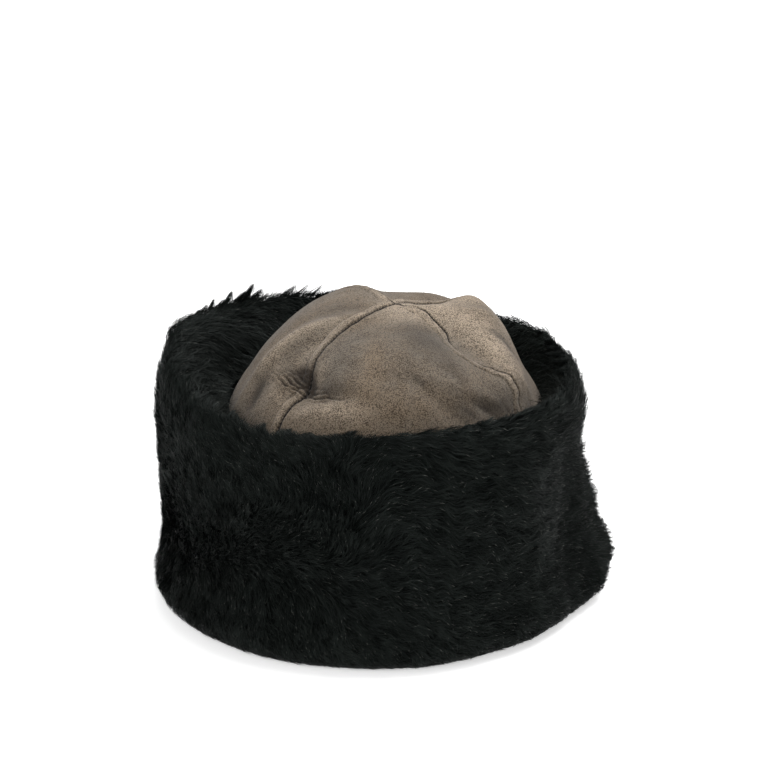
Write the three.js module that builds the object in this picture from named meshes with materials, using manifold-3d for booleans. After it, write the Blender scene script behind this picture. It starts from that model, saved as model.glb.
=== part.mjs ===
// A shearling hat: a soft crown of four suede panels inside a deep, turned-up cuff of long fur.
// Millimetres, +Z up. The hat stands on the flat lower edge of its cuff, and its front faces -Y.
// Bearings go round the hat in degrees, from 0 at the front through 90 at its +X side.
// Levels go up the crown: 0 at the hem, 1 at the spring line, 2 at the apex.

import * as THREE from 'three';
import { mergeVertices } from 'three/addons/utils/BufferGeometryUtils.js';
import Module from 'manifold-3d';

const wasm = await Module();
wasm.setup();

// Driving sizes of the crown
const BAND_HALF_WIDTH = 93;
const BAND_HALF_DEPTH = 96;
const HEM_Z = 5;
const SPRING_Z = 96;
const SIDE_Z = 135;
const CREST_REACH = 36;
const APEX_Z = 173;
const APEX_LEAN = 5.5;
const AXIS_X = 1.5;
const WALL = 3;
const PANEL_GAP = 0.3;
const APEX_HOLE_LEVEL = 1.993;

// The sewn seams between the panels
const GROOVE_DEPTH = 1.5;
const GROOVE_REACH = 1.6;
const ALLOWANCE_WIDTH = 4.6;
const ALLOWANCE_RISE = 0.9;
const ALLOWANCE_STEP = 1.2;
const SEAM_FADE_RADIUS = 9;
const SEAM_FADE_LEVELS = 0.12;
const APEX_FLAT_RADIUS = 16;

// Driving sizes of the cuff
const SEAT_GAP = 0.45;
const FOOT_ROUND = 11;
const HEEL_ROUND = 2.5;
const HEEL_Z = 4;
const FOOT_Z = 13;
const WAIST_Z = 46;
const CHEST_Z = 88;
const BRIM_DROP = 20;
const RIM_DROP = 5;
const INNER_DROP = 9;
const THROAT_DROP = 34;
const THROAT_GAP = 2.5;
const SEAT_TOP_DROP = 5;
const BASE_INSET = 3.5;
const FUR_SINK = 1.5;
const PELT_GAP = 0.3;

// The fur's locks
const LOCK_LENGTH = 48;
const LOCK_HALF_WIDTH = 9.5;
const LOCK_RISE = 3.4;
const LOCK_ROOT = 1.5;
const LOCK_KEEL = 6;
const LOCK_FLOOR_GAP = 0.5;
const LOCK_SPACING = 36;
const LOCK_ROWS = [0.1, 0.21, 0.32, 0.43, 0.54, 0.65];

// How finely the surfaces are divided
const CROWN_ROWS = 15;
const PANEL_INNER_COLUMNS = 7;
const CUFF_COLUMN_DEGREES = 6;
const CUFF_CHAIN_STEPS = 17;

const SUEDE_COLOUR = 0x77695c;
const FUR_COLOUR = 0x151716;

const DEGREE = Math.PI / 180;

// The crown's sections from the spring line to the apex. side and shoulder are distances from the
// crown's axis, shoulderZ and crestZ are heights; the crest is CREST_REACH from the axis.
const CROWN_SECTIONS = [
  { bearing: -140, side: 80, shoulder: 60, shoulderZ: 160, crestZ: 170 },
  { bearing: -90, side: 78, shoulder: 57, shoulderZ: 160, crestZ: 170 },
  { bearing: -42, side: 79, shoulder: 60, shoulderZ: 155, crestZ: 166 },
  { bearing: 0, side: 84, shoulder: 63, shoulderZ: 158, crestZ: 167 },
  { bearing: 50, side: 80, shoulder: 61, shoulderZ: 156, crestZ: 165 },
  { bearing: 92, side: 75, shoulder: 57, shoulderZ: 163, crestZ: 169 },
  { bearing: 135, side: 79, shoulder: 60, shoulderZ: 161, crestZ: 167 },
  { bearing: 180, side: 83, shoulder: 62, shoulderZ: 159, crestZ: 166 },
];

// The crown's folds and dents. Each is a smooth swell along the surface's normal, centred at a
// bearing and a reach (the distance from the apex). heading turns its long way from downhill.
const CROWN_FOLDS = [
  { name: 'peak', bearing: -140, reach: 34, heading: 0, length: 26, width: 20, rise: 3 },
  { name: 'right crest', bearing: 126, reach: 50, heading: 10, length: 17, width: 11, rise: 4.4 },
  { name: 'apex dip', bearing: 0, reach: 0, heading: 0, length: 14, width: 14, rise: -0.8 },
  { name: 'front seam pinch', bearing: -39, reach: 81, heading: 90, length: 15, width: 9, rise: -7 },
  { name: 'pinch crease right', bearing: -24, reach: 83.5, heading: 92, length: 17, width: 5, rise: -2.2 },
  { name: 'left ridge', bearing: -69, reach: 65, heading: -12, length: 38, width: 7, rise: 4.4 },
  { name: 'left valley', bearing: -83, reach: 60, heading: -8, length: 32, width: 7, rise: -2 },
  { name: 'left hollow', bearing: -52, reach: 64, heading: 15, length: 18, width: 9, rise: -2.4 },
  { name: 'right seam dip', bearing: 50, reach: 55, heading: 8, length: 26, width: 13, rise: -6.5 },
  { name: 'right shoulder', bearing: 62, reach: 84, heading: 90, length: 26, width: 12, rise: 3.6 },
  { name: 'front valley', bearing: 21, reach: 88, heading: 52, length: 19, width: 6, rise: -2.2 },
  { name: 'low right valley', bearing: 36, reach: 90, heading: 64, length: 17, width: 6, rise: -1.6 },
  { name: 'back valley', bearing: 138, reach: 36, heading: 0, length: 30, width: 12, rise: -5 },
];

// The crown's seams, each with its bearing at a few levels. The folded allowance lies on one side:
// +1 towards higher bearings, -1 towards lower ones.
const SEAMS = {
  front_left: {
    allowanceSide: -1,
    path: [
      { level: 1, bearing: -43 },
      { level: 1.24, bearing: -41 },
      { level: 1.36, bearing: -41.5 },
      { level: 1.5, bearing: -43.5 },
      { level: 1.77, bearing: -45 },
      { level: 2, bearing: -60 },
    ],
  },
  front_right: {
    allowanceSide: -1,
    path: [
      { level: 1, bearing: 52 },
      { level: 1.25, bearing: 58 },
      { level: 1.52, bearing: 46 },
      { level: 1.78, bearing: 55 },
      { level: 2, bearing: 82 },
    ],
  },
  back_right: {
    allowanceSide: 1,
    path: [
      { level: 1, bearing: 128 },
      { level: 1.6, bearing: 133 },
      { level: 1.79, bearing: 145 },
      { level: 2, bearing: 160 },
    ],
  },
  back_left: {
    allowanceSide: 1,
    path: [
      { level: 1, bearing: -140 },
      { level: 2, bearing: -150 },
    ],
  },
};

// The four panels, each from one seam round to the next. turns adds full turns to the second seam.
const PANELS = [
  { name: 'crown_front', from: 'front_left', to: 'front_right', turns: 0 },
  { name: 'crown_right', from: 'front_right', to: 'back_right', turns: 0 },
  { name: 'crown_back', from: 'back_right', to: 'back_left', turns: 1 },
  { name: 'crown_left', from: 'back_left', to: 'front_left', turns: 0 },
];

// The cuff's sections: distances of the fur's surface from the axis near the floor (foot), at the
// waist, at the chest, under the rim (brim) and on top of the rim (ridge), and the rim's height.
const CUFF_SECTIONS = [
  { bearing: -140, foot: 129, waist: 127, chest: 128, brim: 132, ridge: 125, height: 145 },
  { bearing: -110, foot: 130.5, waist: 128, chest: 129, brim: 133, ridge: 124, height: 145 },
  { bearing: -88, foot: 132.5, waist: 128, chest: 129, brim: 130, ridge: 119, height: 140 },
  { bearing: -60, foot: 131, waist: 127, chest: 127, brim: 126, ridge: 114, height: 131 },
  { bearing: -38, foot: 130, waist: 128, chest: 126, brim: 121, ridge: 108, height: 126 },
  { bearing: 0, foot: 126, waist: 126, chest: 124, brim: 118, ridge: 106, height: 132 },
  { bearing: 35, foot: 120, waist: 119, chest: 118, brim: 115, ridge: 104, height: 133 },
  { bearing: 62, foot: 116, waist: 112, chest: 111, brim: 112, ridge: 104, height: 134 },
  { bearing: 88, foot: 126, waist: 115, chest: 109, brim: 110, ridge: 103, height: 134 },
  { bearing: 105, foot: 139, waist: 122, chest: 112, brim: 112, ridge: 104, height: 135 },
  { bearing: 135, foot: 134, waist: 123, chest: 118, brim: 117, ridge: 109, height: 138 },
  { bearing: 180, foot: 128, waist: 125, chest: 123, brim: 124, ridge: 116, height: 141 },
];

// Partings and hollows pressed into the outside of the fur.
const CUFF_DENTS = [
  { name: 'left parting', bearing: -76, z: 42, halfAngle: 17, halfHeight: 9, depth: 2 },
  { name: 'middle parting', bearing: -45, z: 60, halfAngle: 18, halfHeight: 9, depth: 2 },
  { name: 'front parting', bearing: -14, z: 52, halfAngle: 14, halfHeight: 9, depth: 2 },
  { name: 'right valley', bearing: 65, z: 74, halfAngle: 5.5, halfHeight: 62, depth: 7 },
  { name: 'pelt seam', bearing: 0, z: 84, halfAngle: 4, halfHeight: 44, depth: 2.5 },
];

// Which way the tips of the fur point: heading 0 is up the cuff and 90 is towards higher bearings.
const FUR_FLOW = [
  { bearing: -150, z: 110, heading: 10 },
  { bearing: -150, z: 20, heading: 160 },
  { bearing: -95, z: 115, heading: 18 },
  { bearing: -80, z: 80, heading: -8 },
  { bearing: -78, z: 16, heading: 172 },
  { bearing: -45, z: 105, heading: -12 },
  { bearing: -40, z: 20, heading: 175 },
  { bearing: -12, z: 100, heading: -18 },
  { bearing: -12, z: 18, heading: 150 },
  { bearing: 10, z: 118, heading: 70 },
  { bearing: 10, z: 70, heading: 100 },
  { bearing: 12, z: 20, heading: 130 },
  { bearing: 45, z: 110, heading: 82 },
  { bearing: 45, z: 50, heading: 112 },
  { bearing: 80, z: 110, heading: 40 },
  { bearing: 80, z: 30, heading: 140 },
  { bearing: 140, z: 110, heading: 20 },
  { bearing: 140, z: 25, heading: 150 },
];
const FLOW_DEGREES_PER_MM = 0.5;
const FLOW_SOFTNESS = 20;

const ease = (t) => t * t * (3 - 2 * t);

const mix = (a, b, t) => a + (b - a) * t;

const halfTurn = (degrees) => ((((degrees + 180) % 360) + 360) % 360) - 180;

/** A table's column read at a bearing, eased from row to row all the way round. */
function readAround(rows, column, bearing) {
  const at = halfTurn(bearing);
  const next = rows.findIndex((row) => row.bearing > at);
  const last = rows.length - 1;
  const low = next === -1 ? rows[last] : rows[(next + last) % rows.length];
  const high = next === -1 ? rows[0] : rows[next];
  const span = (high.bearing - low.bearing + 360) % 360;
  const passed = (at - low.bearing + 360) % 360;
  return mix(low[column], high[column], ease(passed / span));
}

/** A seam's bearing at a level of the crown. */
function seamBearing(seam, level) {
  const path = seam.path;
  if (level <= path[0].level) return path[0].bearing;
  const next = path.findIndex((row) => row.level >= level);
  const low = path[next - 1];
  const high = path[next];
  return mix(low.bearing, high.bearing, ease((level - low.level) / (high.level - low.level)));
}

/** A smooth curve through a row of values, read at a place from 0 to the last value's number. */
function smoothThrough(values, place) {
  const last = values.length - 1;
  const i = Math.min(Math.floor(place), last - 1);
  const t = place - i;
  const p1 = values[i];
  const p2 = values[i + 1];
  const p0 = i > 0 ? values[i - 1] : 2 * p1 - p2;
  const p3 = i + 2 <= last ? values[i + 2] : 2 * p2 - p1;
  const square = 2 * p0 - 5 * p1 + 4 * p2 - p3;
  const cube = -p0 + 3 * p1 - 3 * p2 + p3;
  return 0.5 * (2 * p1 + (p2 - p0) * t + square * t * t + cube * t * t * t);
}

/** The radius of the head opening's oval at a bearing, outside the crown's wall. */
function bandRadius(bearing) {
  const across = Math.sin(bearing * DEGREE) / BAND_HALF_WIDTH;
  const along = Math.cos(bearing * DEGREE) / BAND_HALF_DEPTH;
  return 1 / Math.hypot(across, along);
}

/** The crown's radius and height before its folds. */
function crownSection(bearing, level) {
  const band = bandRadius(bearing);
  if (level <= 1) return { radius: band, z: mix(HEM_Z, SPRING_Z, level) };
  const read = (column) => readAround(CROWN_SECTIONS, column, bearing);
  const radii = [band, band, read('side'), read('shoulder'), CREST_REACH, 0];
  const heights = [HEM_Z, SPRING_Z, SIDE_Z, read('shoulderZ'), read('crestZ'), APEX_Z];
  const place = 1 + (level - 1) * (radii.length - 2);
  return { radius: smoothThrough(radii, place), z: smoothThrough(heights, place) };
}

function plainCrown(bearing, level) {
  const { radius, z } = crownSection(bearing, level);
  const risen = Math.max(0, (z - SPRING_Z) / (APEX_Z - SPRING_Z));
  const leanX = APEX_LEAN * Math.min(1, risen) ** 1.5;
  const x = AXIS_X + leanX + radius * Math.sin(bearing * DEGREE);
  return new THREE.Vector3(x, -radius * Math.cos(bearing * DEGREE), z);
}

/** The outward normal of a surface given by bearing and level. */
function surfaceNormal(surface, bearing, level, bearingStep = 0.5, levelStep = 0.01) {
  const top = Math.min(level + levelStep, 1.999);
  const round = surface(bearing + bearingStep, level).sub(surface(bearing - bearingStep, level));
  const up = surface(bearing, top).sub(surface(bearing, top - 2 * levelStep));
  return round.cross(up).normalize();
}

/** How far the folds push the crown out at a place. */
function foldRise(bearing, level) {
  const { radius, z } = crownSection(bearing, level);
  const reach = Math.hypot(radius, APEX_Z - z);
  const x = reach * Math.sin(bearing * DEGREE);
  const y = reach * Math.cos(bearing * DEGREE);
  return CROWN_FOLDS.reduce((sum, fold) => {
    const dx = x - fold.reach * Math.sin(fold.bearing * DEGREE);
    const dy = y - fold.reach * Math.cos(fold.bearing * DEGREE);
    const heading = (fold.bearing + fold.heading) * DEGREE;
    const lengthwise = (dx * Math.sin(heading) + dy * Math.cos(heading)) / fold.length;
    const crosswise = (dx * Math.cos(heading) - dy * Math.sin(heading)) / fold.width;
    return sum + fold.rise * Math.exp(-(lengthwise ** 2) - crosswise ** 2);
  }, 0);
}

/** The crown's outward direction at a place: its surface's normal, turned upright at the apex. */
function outwardFrom(surface, bearing, level) {
  const { radius } = crownSection(bearing, level);
  const upright = 1 - ease(Math.min(1, radius / APEX_FLAT_RADIUS));
  return surfaceNormal(surface, bearing, level).lerp(new THREE.Vector3(0, 0, 1), upright).normalize();
}

function foldedCrown(bearing, level) {
  const outward = outwardFrom(plainCrown, bearing, level);
  return plainCrown(bearing, level).addScaledVector(outward, foldRise(bearing, level));
}

/** The relief beside a seam: the stitched groove, and the allowance folded under on one side. */
function seamRelief(distance, hasAllowance, radius, level) {
  const fadeUp = Math.min(1, radius / SEAM_FADE_RADIUS);
  const fadeDown = THREE.MathUtils.clamp((level - 1) / SEAM_FADE_LEVELS, 0, 1);
  const groove = distance < GROOVE_REACH ? -GROOVE_DEPTH * (1 - distance / GROOVE_REACH) : 0;
  const onBand = distance >= GROOVE_REACH && distance <= GROOVE_REACH + ALLOWANCE_WIDTH;
  return (groove + (hasAllowance && onBand ? ALLOWANCE_RISE : 0)) * fadeUp * fadeDown;
}

/** Distances from one seam at which a panel has its columns, out to the end of the allowance. */
const SEAM_COLUMNS = [
  PANEL_GAP / 2,
  GROOVE_REACH,
  GROOVE_REACH + ALLOWANCE_WIDTH,
  GROOVE_REACH + ALLOWANCE_WIDTH + ALLOWANCE_STEP,
];

/** The columns of a panel of a given width: distances from both seams, in order. */
function panelColumns(width) {
  const start = SEAM_COLUMNS[0];
  const edge = SEAM_COLUMNS[SEAM_COLUMNS.length - 1];
  const scale = Math.min(1, width / (3 * edge));
  const near = SEAM_COLUMNS.map((distance) => start + (distance - start) * scale);
  const innerEdge = near[near.length - 1];
  const inner = [];
  for (let i = 1; i <= PANEL_INNER_COLUMNS; i++) {
    inner.push(mix(innerEdge, width - innerEdge, i / (PANEL_INNER_COLUMNS + 1)));
  }
  return [...near, ...inner, ...near.map((distance) => width - distance).reverse()];
}

function geometryFrom(points, triangles) {
  const geometry = new THREE.BufferGeometry();
  const coordinates = points.flatMap((point) => point.toArray());
  geometry.setAttribute('position', new THREE.Float32BufferAttribute(coordinates, 3));
  geometry.setIndex(triangles.flat());
  return geometry;
}

/** The triangles of a strip of quads between two rows of point numbers. */
function strip(lower, upper) {
  const triangles = [];
  for (let i = 0; i + 1 < lower.length; i++) {
    triangles.push([lower[i], lower[i + 1], upper[i + 1]], [lower[i], upper[i + 1], upper[i]]);
  }
  return triangles;
}

/** One crown panel: a curved wall of even thickness between two seams. */
function panelGeometry({ from, to, turns }) {
  const points = [];
  const outer = [];
  const inner = [];
  const addPoint = (point) => points.push(point) - 1;
  for (let row = 0; row <= CROWN_ROWS; row++) {
    const level = row === 0 ? 0 : mix(1, APEX_HOLE_LEVEL, (row - 1) / (CROWN_ROWS - 1));
    const start = seamBearing(SEAMS[from], level);
    const end = seamBearing(SEAMS[to], level) + 360 * turns;
    const radius = crownSection((start + end) / 2, level).radius;
    const width = (end - start) * DEGREE * radius;
    const outerRow = [];
    const innerRow = [];
    panelColumns(width).forEach((distance, column, all) => {
      const bearing = start + distance / radius / DEGREE;
      const nearStart = column < all.length / 2;
      const seam = SEAMS[nearStart ? from : to];
      const hasAllowance = seam.allowanceSide === (nearStart ? 1 : -1);
      const away = SEAM_COLUMNS[Math.min(column, all.length - 1 - column)] ?? Infinity;
      const outward = outwardFrom(foldedCrown, bearing, level);
      const base = foldedCrown(bearing, level);
      const relief = seamRelief(away, hasAllowance, radius, level);
      outerRow.push(addPoint(base.clone().addScaledVector(outward, relief)));
      innerRow.push(addPoint(base.addScaledVector(outward, -WALL)));
    });
    outer.push(outerRow);
    inner.push(innerRow);
  }
  const triangles = [];
  for (let row = 0; row < CROWN_ROWS; row++) {
    triangles.push(...strip(outer[row], outer[row + 1]), ...strip(inner[row + 1], inner[row]));
  }
  const column = (grid, i) => grid.map((row) => row.at(i));
  triangles.push(...strip(inner[0], outer[0]), ...strip(outer.at(-1), inner.at(-1)));
  const endFaces = strip(column(outer, -1), column(inner, -1)).map((corners) => corners.reverse());
  triangles.push(...strip(column(outer, 0), column(inner, 0)), ...endFaces);
  return geometryFrom(points, triangles);
}

/** How deep the partings press the fur in at a place on the cuff's outside. */
function dentDepth(bearing, z) {
  return CUFF_DENTS.reduce((sum, dent) => {
    const round = halfTurn(bearing - dent.bearing) / dent.halfAngle;
    const up = (z - dent.z) / dent.halfHeight;
    return sum + dent.depth * Math.exp(-(round ** 2) - up ** 2);
  }, 0);
}

/** The cuff's fur surface: place 0 at the floor, up the outside, over the rim, 1 at the throat. */
function cuffPoint(bearing, place) {
  const read = (column) => readAround(CUFF_SECTIONS, column, bearing);
  const seat = bandRadius(bearing) + SEAT_GAP;
  const [foot, waist, chest, brim, ridge, height] =
    ['foot', 'waist', 'chest', 'brim', 'ridge', 'height'].map(read);
  const chain = [
    { radius: foot - FOOT_ROUND, z: 0 },
    { radius: foot - HEEL_ROUND, z: HEEL_Z },
    { radius: foot, z: FOOT_Z },
    { radius: waist, z: WAIST_Z },
    { radius: chest, z: CHEST_Z },
    { radius: brim, z: height - BRIM_DROP },
    { radius: mix(brim, ridge, 0.4), z: height - RIM_DROP },
    { radius: ridge, z: height },
    { radius: mix(ridge, seat, 0.45), z: height - INNER_DROP },
    { radius: seat + THROAT_GAP, z: height - THROAT_DROP },
  ];
  const last = chain.length - 1;
  const brimStation = 5;
  const along = place * last;
  const z = smoothThrough(chain.map((row) => row.z), along);
  const outward = smoothThrough(chain.map((row) => row.radius), along);
  const outside = 1 - ease(THREE.MathUtils.clamp(along - brimStation, 0, 1));
  const sink = FUR_SINK * ease(Math.min(1, along / 2)) * ease(Math.min(1, last - along));
  const radius = outward - sink - outside * dentDepth(bearing, z);
  const x = AXIS_X + radius * Math.sin(bearing * DEGREE);
  return new THREE.Vector3(x, -radius * Math.cos(bearing * DEGREE), Math.max(0, z));
}

/** One closed section of the cuff: up the outside, over the rim and down the seat to the base. */
function cuffSection(bearing) {
  const section = [];
  for (let step = 0; step <= CUFF_CHAIN_STEPS; step++) {
    section.push(cuffPoint(bearing, step / CUFF_CHAIN_STEPS));
  }
  const throatZ = section.at(-1).z;
  const seat = bandRadius(bearing) + SEAT_GAP;
  const wall = [
    { radius: seat, z: throatZ - SEAT_TOP_DROP },
    { radius: seat, z: BASE_INSET },
    { radius: seat + BASE_INSET, z: 0 },
  ];
  for (const { radius, z } of wall) {
    const x = AXIS_X + radius * Math.sin(bearing * DEGREE);
    section.push(new THREE.Vector3(x, -radius * Math.cos(bearing * DEGREE), z));
  }
  return section;
}

/** Half of the cuff without its locks, from the front seam round one side to the back seam. */
function peltGeometry(side) {
  const columns = Math.round(180 / CUFF_COLUMN_DEGREES);
  const points = [];
  const loops = [];
  for (let i = 0; i <= columns; i++) {
    const bearing = side * i * CUFF_COLUMN_DEGREES;
    const section = cuffSection(bearing);
    const atSeam = i === 0 || i === columns;
    if (atSeam) section.forEach((point) => (point.x = AXIS_X + (side * PELT_GAP) / 2));
    loops.push(section.map((point) => points.push(point) - 1));
  }
  const closed = (loop) => [...loop, loop[0]];
  const triangles = [];
  for (let i = 0; i < columns; i++) {
    const pair = side > 0 ? [loops[i + 1], loops[i]] : [loops[i], loops[i + 1]];
    triangles.push(...strip(closed(pair[0]), closed(pair[1])));
  }
  for (const loop of [loops[0], loops[columns]]) {
    const outline = loop.map((number) => new THREE.Vector2(points[number].y, points[number].z));
    const faces = THREE.ShapeUtils.triangulateShape(outline, []);
    const runsForward = THREE.ShapeUtils.area(outline) > 0;
    const needsForward = (loop === loops[0]) === side > 0;
    for (const [a, b, c] of faces) {
      const corners = [loop[a], loop[b], loop[c]];
      triangles.push(runsForward === needsForward ? corners : corners.reverse());
    }
  }
  return geometryFrom(points, triangles);
}

/** The heading of the fur at a place, weighed from the nearest rows of the flow table. */
function furHeading(bearing, z) {
  let sine = 0;
  let cosine = 0;
  for (const row of FUR_FLOW) {
    const round = halfTurn(bearing - row.bearing);
    const up = (z - row.z) * FLOW_DEGREES_PER_MM;
    const weight = 1 / (FLOW_SOFTNESS + round ** 2 + up ** 2) ** 2;
    sine += weight * Math.sin(row.heading * DEGREE);
    cosine += weight * Math.cos(row.heading * DEGREE);
  }
  return Math.atan2(sine, cosine);
}

/** A repeatable number from 0 to 1 for a pair of whole numbers. */
function scatter(a, b) {
  const wave = Math.sin(a * 127.1 + b * 311.7) * 43758.5453;
  return wave - Math.floor(wave);
}

/** A place on the cuff some way along the fur from another, with its outward normal. */
function cuffFrame(bearing, place, bearingStep = 0.3, placeStep = 0.004) {
  const point = cuffPoint(bearing, place);
  const round = cuffPoint(bearing + bearingStep, place).sub(cuffPoint(bearing - bearingStep, place));
  const up = cuffPoint(bearing, place + placeStep).sub(cuffPoint(bearing, place - placeStep));
  const chainLength = up.length() / (2 * placeStep);
  const reach = Math.hypot(point.x - AXIS_X, point.y);
  return { point, chainLength, reach, normal: round.cross(up).normalize() };
}

/** One lock of fur: a flattened spindle that follows the surface, its tip lifted clear of it. */
function lockGeometry(bearing, place, heading, size) {
  const length = LOCK_LENGTH * size;
  const halfWidth = LOCK_HALF_WIDTH * size;
  const centre = cuffFrame(bearing, place);
  const stationAt = (share) => {
    const onward = (share - 0.5) * length;
    const stationBearing = bearing + (onward * Math.sin(heading)) / centre.reach / DEGREE;
    const stationPlace = place + (onward * Math.cos(heading)) / centre.chainLength;
    return cuffFrame(stationBearing, THREE.MathUtils.clamp(stationPlace, 0.01, 0.99));
  };
  const root = stationAt(0);
  const tip = stationAt(1);
  const forward = tip.point.clone().sub(root.point).normalize();
  const points = [root.point.addScaledVector(root.normal, -LOCK_ROOT)];
  const stations = [
    { share: 0.3, width: 1, rise: 0.8 },
    { share: 0.68, width: 0.7, rise: 1 },
  ];
  for (const { share, width, rise } of stations) {
    const { point, normal } = stationAt(share);
    const sideways = forward.clone().cross(normal).setLength(halfWidth * width);
    const under = point.clone().addScaledVector(normal, -LOCK_ROOT);
    points.push(under.clone().add(sideways));
    points.push(point.clone().addScaledVector(normal, LOCK_RISE * rise));
    points.push(under.sub(sideways));
    points.push(point.addScaledVector(normal, -LOCK_KEEL));
  }
  points.push(tip.point.addScaledVector(tip.normal, LOCK_RISE * 0.25));
  const last = points.length - 1;
  const triangles = [];
  for (let i = 0; i < 4; i++) {
    const a = 1 + i;
    const b = 1 + ((i + 1) % 4);
    triangles.push([0, a, b], [a, b + 4, b], [a, a + 4, b + 4], [last, b + 4, a + 4]);
  }
  return geometryFrom(points, triangles);
}

/** Where the locks of one side stand: staggered rows up the outside and over the rim. */
function lockPlaces(side) {
  const meanRadius = (BAND_HALF_WIDTH + CUFF_SECTIONS[0].foot) / 2 + LOCK_HALF_WIDTH;
  const count = Math.floor((Math.PI * meanRadius) / LOCK_SPACING);
  return LOCK_ROWS.flatMap((rowPlace, row) =>
    Array.from({ length: count }, (_, i) => {
      const seed = row * 40 + i + (side > 0 ? 500 : 0);
      const stagger = row % 2 ? 0.25 : -0.15;
      const round = (i + 0.6 + stagger + 0.14 * (scatter(seed, 1) - 0.5)) / count;
      return {
        bearing: side * 180 * round,
        place: rowPlace + 0.02 * (scatter(seed, 2) - 0.5),
        size: 0.86 + 0.28 * scatter(seed, 3),
        turn: 30 * (scatter(seed, 4) - 0.5) * DEGREE,
      };
    }),
  );
}

/** A closed three.js mesh as a solid that can be joined and cut. */
function solidFrom(geometry) {
  const merged = mergeVertices(geometry);
  return new wasm.Manifold(new wasm.Mesh({
    numProp: 3,
    vertProperties: new Float32Array(merged.attributes.position.array),
    triVerts: new Uint32Array(merged.index.array),
  }));
}

function geometryOf(solid) {
  const mesh = solid.getMesh();
  const geometry = new THREE.BufferGeometry();
  geometry.setAttribute('position', new THREE.BufferAttribute(new Float32Array(mesh.vertProperties), 3));
  geometry.setIndex(new THREE.BufferAttribute(new Uint32Array(mesh.triVerts), 1));
  return geometry;
}

/** Whether a lock stays clear of the pelts' seams and of the floor. */
function lockFits(points, side) {
  const lowest = Math.min(...points.map((point) => point.z));
  const fromSeam = Math.min(...points.map((point) => side * (point.x - AXIS_X)));
  return lowest > LOCK_FLOOR_GAP && fromSeam > PELT_GAP;
}

function pointsOf(geometry) {
  const position = geometry.attributes.position;
  const pointAt = (_, i) => new THREE.Vector3().fromBufferAttribute(position, i);
  return Array.from({ length: position.count }, pointAt);
}

/** One finished pelt of the cuff, its locks fused to it. */
function furredPelt(side) {
  let pelt = solidFrom(peltGeometry(side));
  for (const { bearing, place, size, turn } of lockPlaces(side)) {
    const heading = furHeading(bearing, cuffPoint(bearing, place).z) + turn;
    const lock = lockGeometry(bearing, place, heading, size);
    if (lockFits(pointsOf(lock), side)) pelt = pelt.add(solidFrom(lock));
  }
  return geometryOf(pelt);
}

const suede = new THREE.MeshStandardMaterial({ color: SUEDE_COLOUR, roughness: 0.9, metalness: 0 });
const fur = new THREE.MeshStandardMaterial({ color: FUR_COLOUR, roughness: 0.7, metalness: 0 });

function namedMesh(name, geometry, material) {
  const mesh = new THREE.Mesh(geometry, material);
  mesh.name = name;
  return mesh;
}

const crown = new THREE.Group();
for (const panel of PANELS) crown.add(namedMesh(panel.name, panelGeometry(panel), suede));

const cuff = new THREE.Group();
cuff.add(namedMesh('cuff_left', furredPelt(-1), fur));
cuff.add(namedMesh('cuff_right', furredPelt(1), fur));

const hat = new THREE.Group();
hat.add(crown, cuff);

// The origin is the middle of the box's underside.
const middle = new THREE.Box3().setFromObject(hat).getCenter(new THREE.Vector3());
hat.position.set(-middle.x, -middle.y, 0);

export default hat;
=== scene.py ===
"""The finish of a shearling hat, built round its solid model.

The hat has a soft crown of four suede panels and a deep turned-up cuff of long black fur, and it
stands on the cuff's lower edge. Lengths in the tables are millimetres, and MM turns them into
metres. Bearings go round the hat in degrees, from 0 at the front through 90 at its +X side. Levels
go up the crown: 0 at the hem, 1 at the spring line, 2 at the apex. Places go over the cuff: 0 at
the floor, up the outside, over the rim, and 1 at the throat between fur and crown.
"""

import logging
import math
from dataclasses import dataclass, fields
from enum import Enum
from typing import Callable, Sequence

import bpy
import numpy as np
from mathutils import Matrix, Vector, noise
from mathutils.kdtree import KDTree


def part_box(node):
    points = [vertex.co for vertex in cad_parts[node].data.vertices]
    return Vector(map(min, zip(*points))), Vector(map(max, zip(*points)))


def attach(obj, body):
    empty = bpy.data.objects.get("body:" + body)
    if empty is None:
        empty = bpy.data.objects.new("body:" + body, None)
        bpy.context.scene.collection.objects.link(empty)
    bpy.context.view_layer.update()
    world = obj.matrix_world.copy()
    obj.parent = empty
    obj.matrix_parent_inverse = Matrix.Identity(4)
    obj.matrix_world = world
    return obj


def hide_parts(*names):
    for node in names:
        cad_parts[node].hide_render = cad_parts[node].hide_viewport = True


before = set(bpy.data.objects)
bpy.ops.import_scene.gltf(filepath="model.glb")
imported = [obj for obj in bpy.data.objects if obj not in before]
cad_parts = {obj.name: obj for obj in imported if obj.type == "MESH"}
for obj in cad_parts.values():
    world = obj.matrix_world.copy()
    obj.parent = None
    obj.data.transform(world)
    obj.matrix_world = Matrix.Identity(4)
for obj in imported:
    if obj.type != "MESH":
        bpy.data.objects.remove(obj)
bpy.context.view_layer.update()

Array = np.ndarray
Object = bpy.types.Object
Material = bpy.types.Material
Socket = bpy.types.NodeSocket

MM = 0.001
DEGREE = math.pi / 180
TURN = 2 * math.pi

# The distance from a seam, in millimetres, at which the suede shows nothing of it.
FAR_FROM_SEAM = 9

# The lowest and the highest place on the cuff where the coat grows.
COAT_FOOT = 0.012
COAT_TOP = 0.985

# The darkest and the palest tone of plain hairs, and the tone of the few that carry a painted glint.
LOWEST_TONE = 0.02
HIGHEST_TONE = 0.88
PAINTED_GLINT_TONE = 0.98

log = logging.getLogger("hat")


@dataclass(frozen=True)
class CrownSection:
    """The crown's outline at one bearing: distances from its axis, and heights."""

    bearing: float
    side: float
    shoulder: float
    shoulder_z: float
    crest_z: float


@dataclass(frozen=True)
class Fold:
    """A smooth swell along the crown's normal; heading turns its long way from downhill."""

    name: str
    bearing: float
    reach: float
    heading: float
    length: float
    width: float
    rise: float


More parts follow.
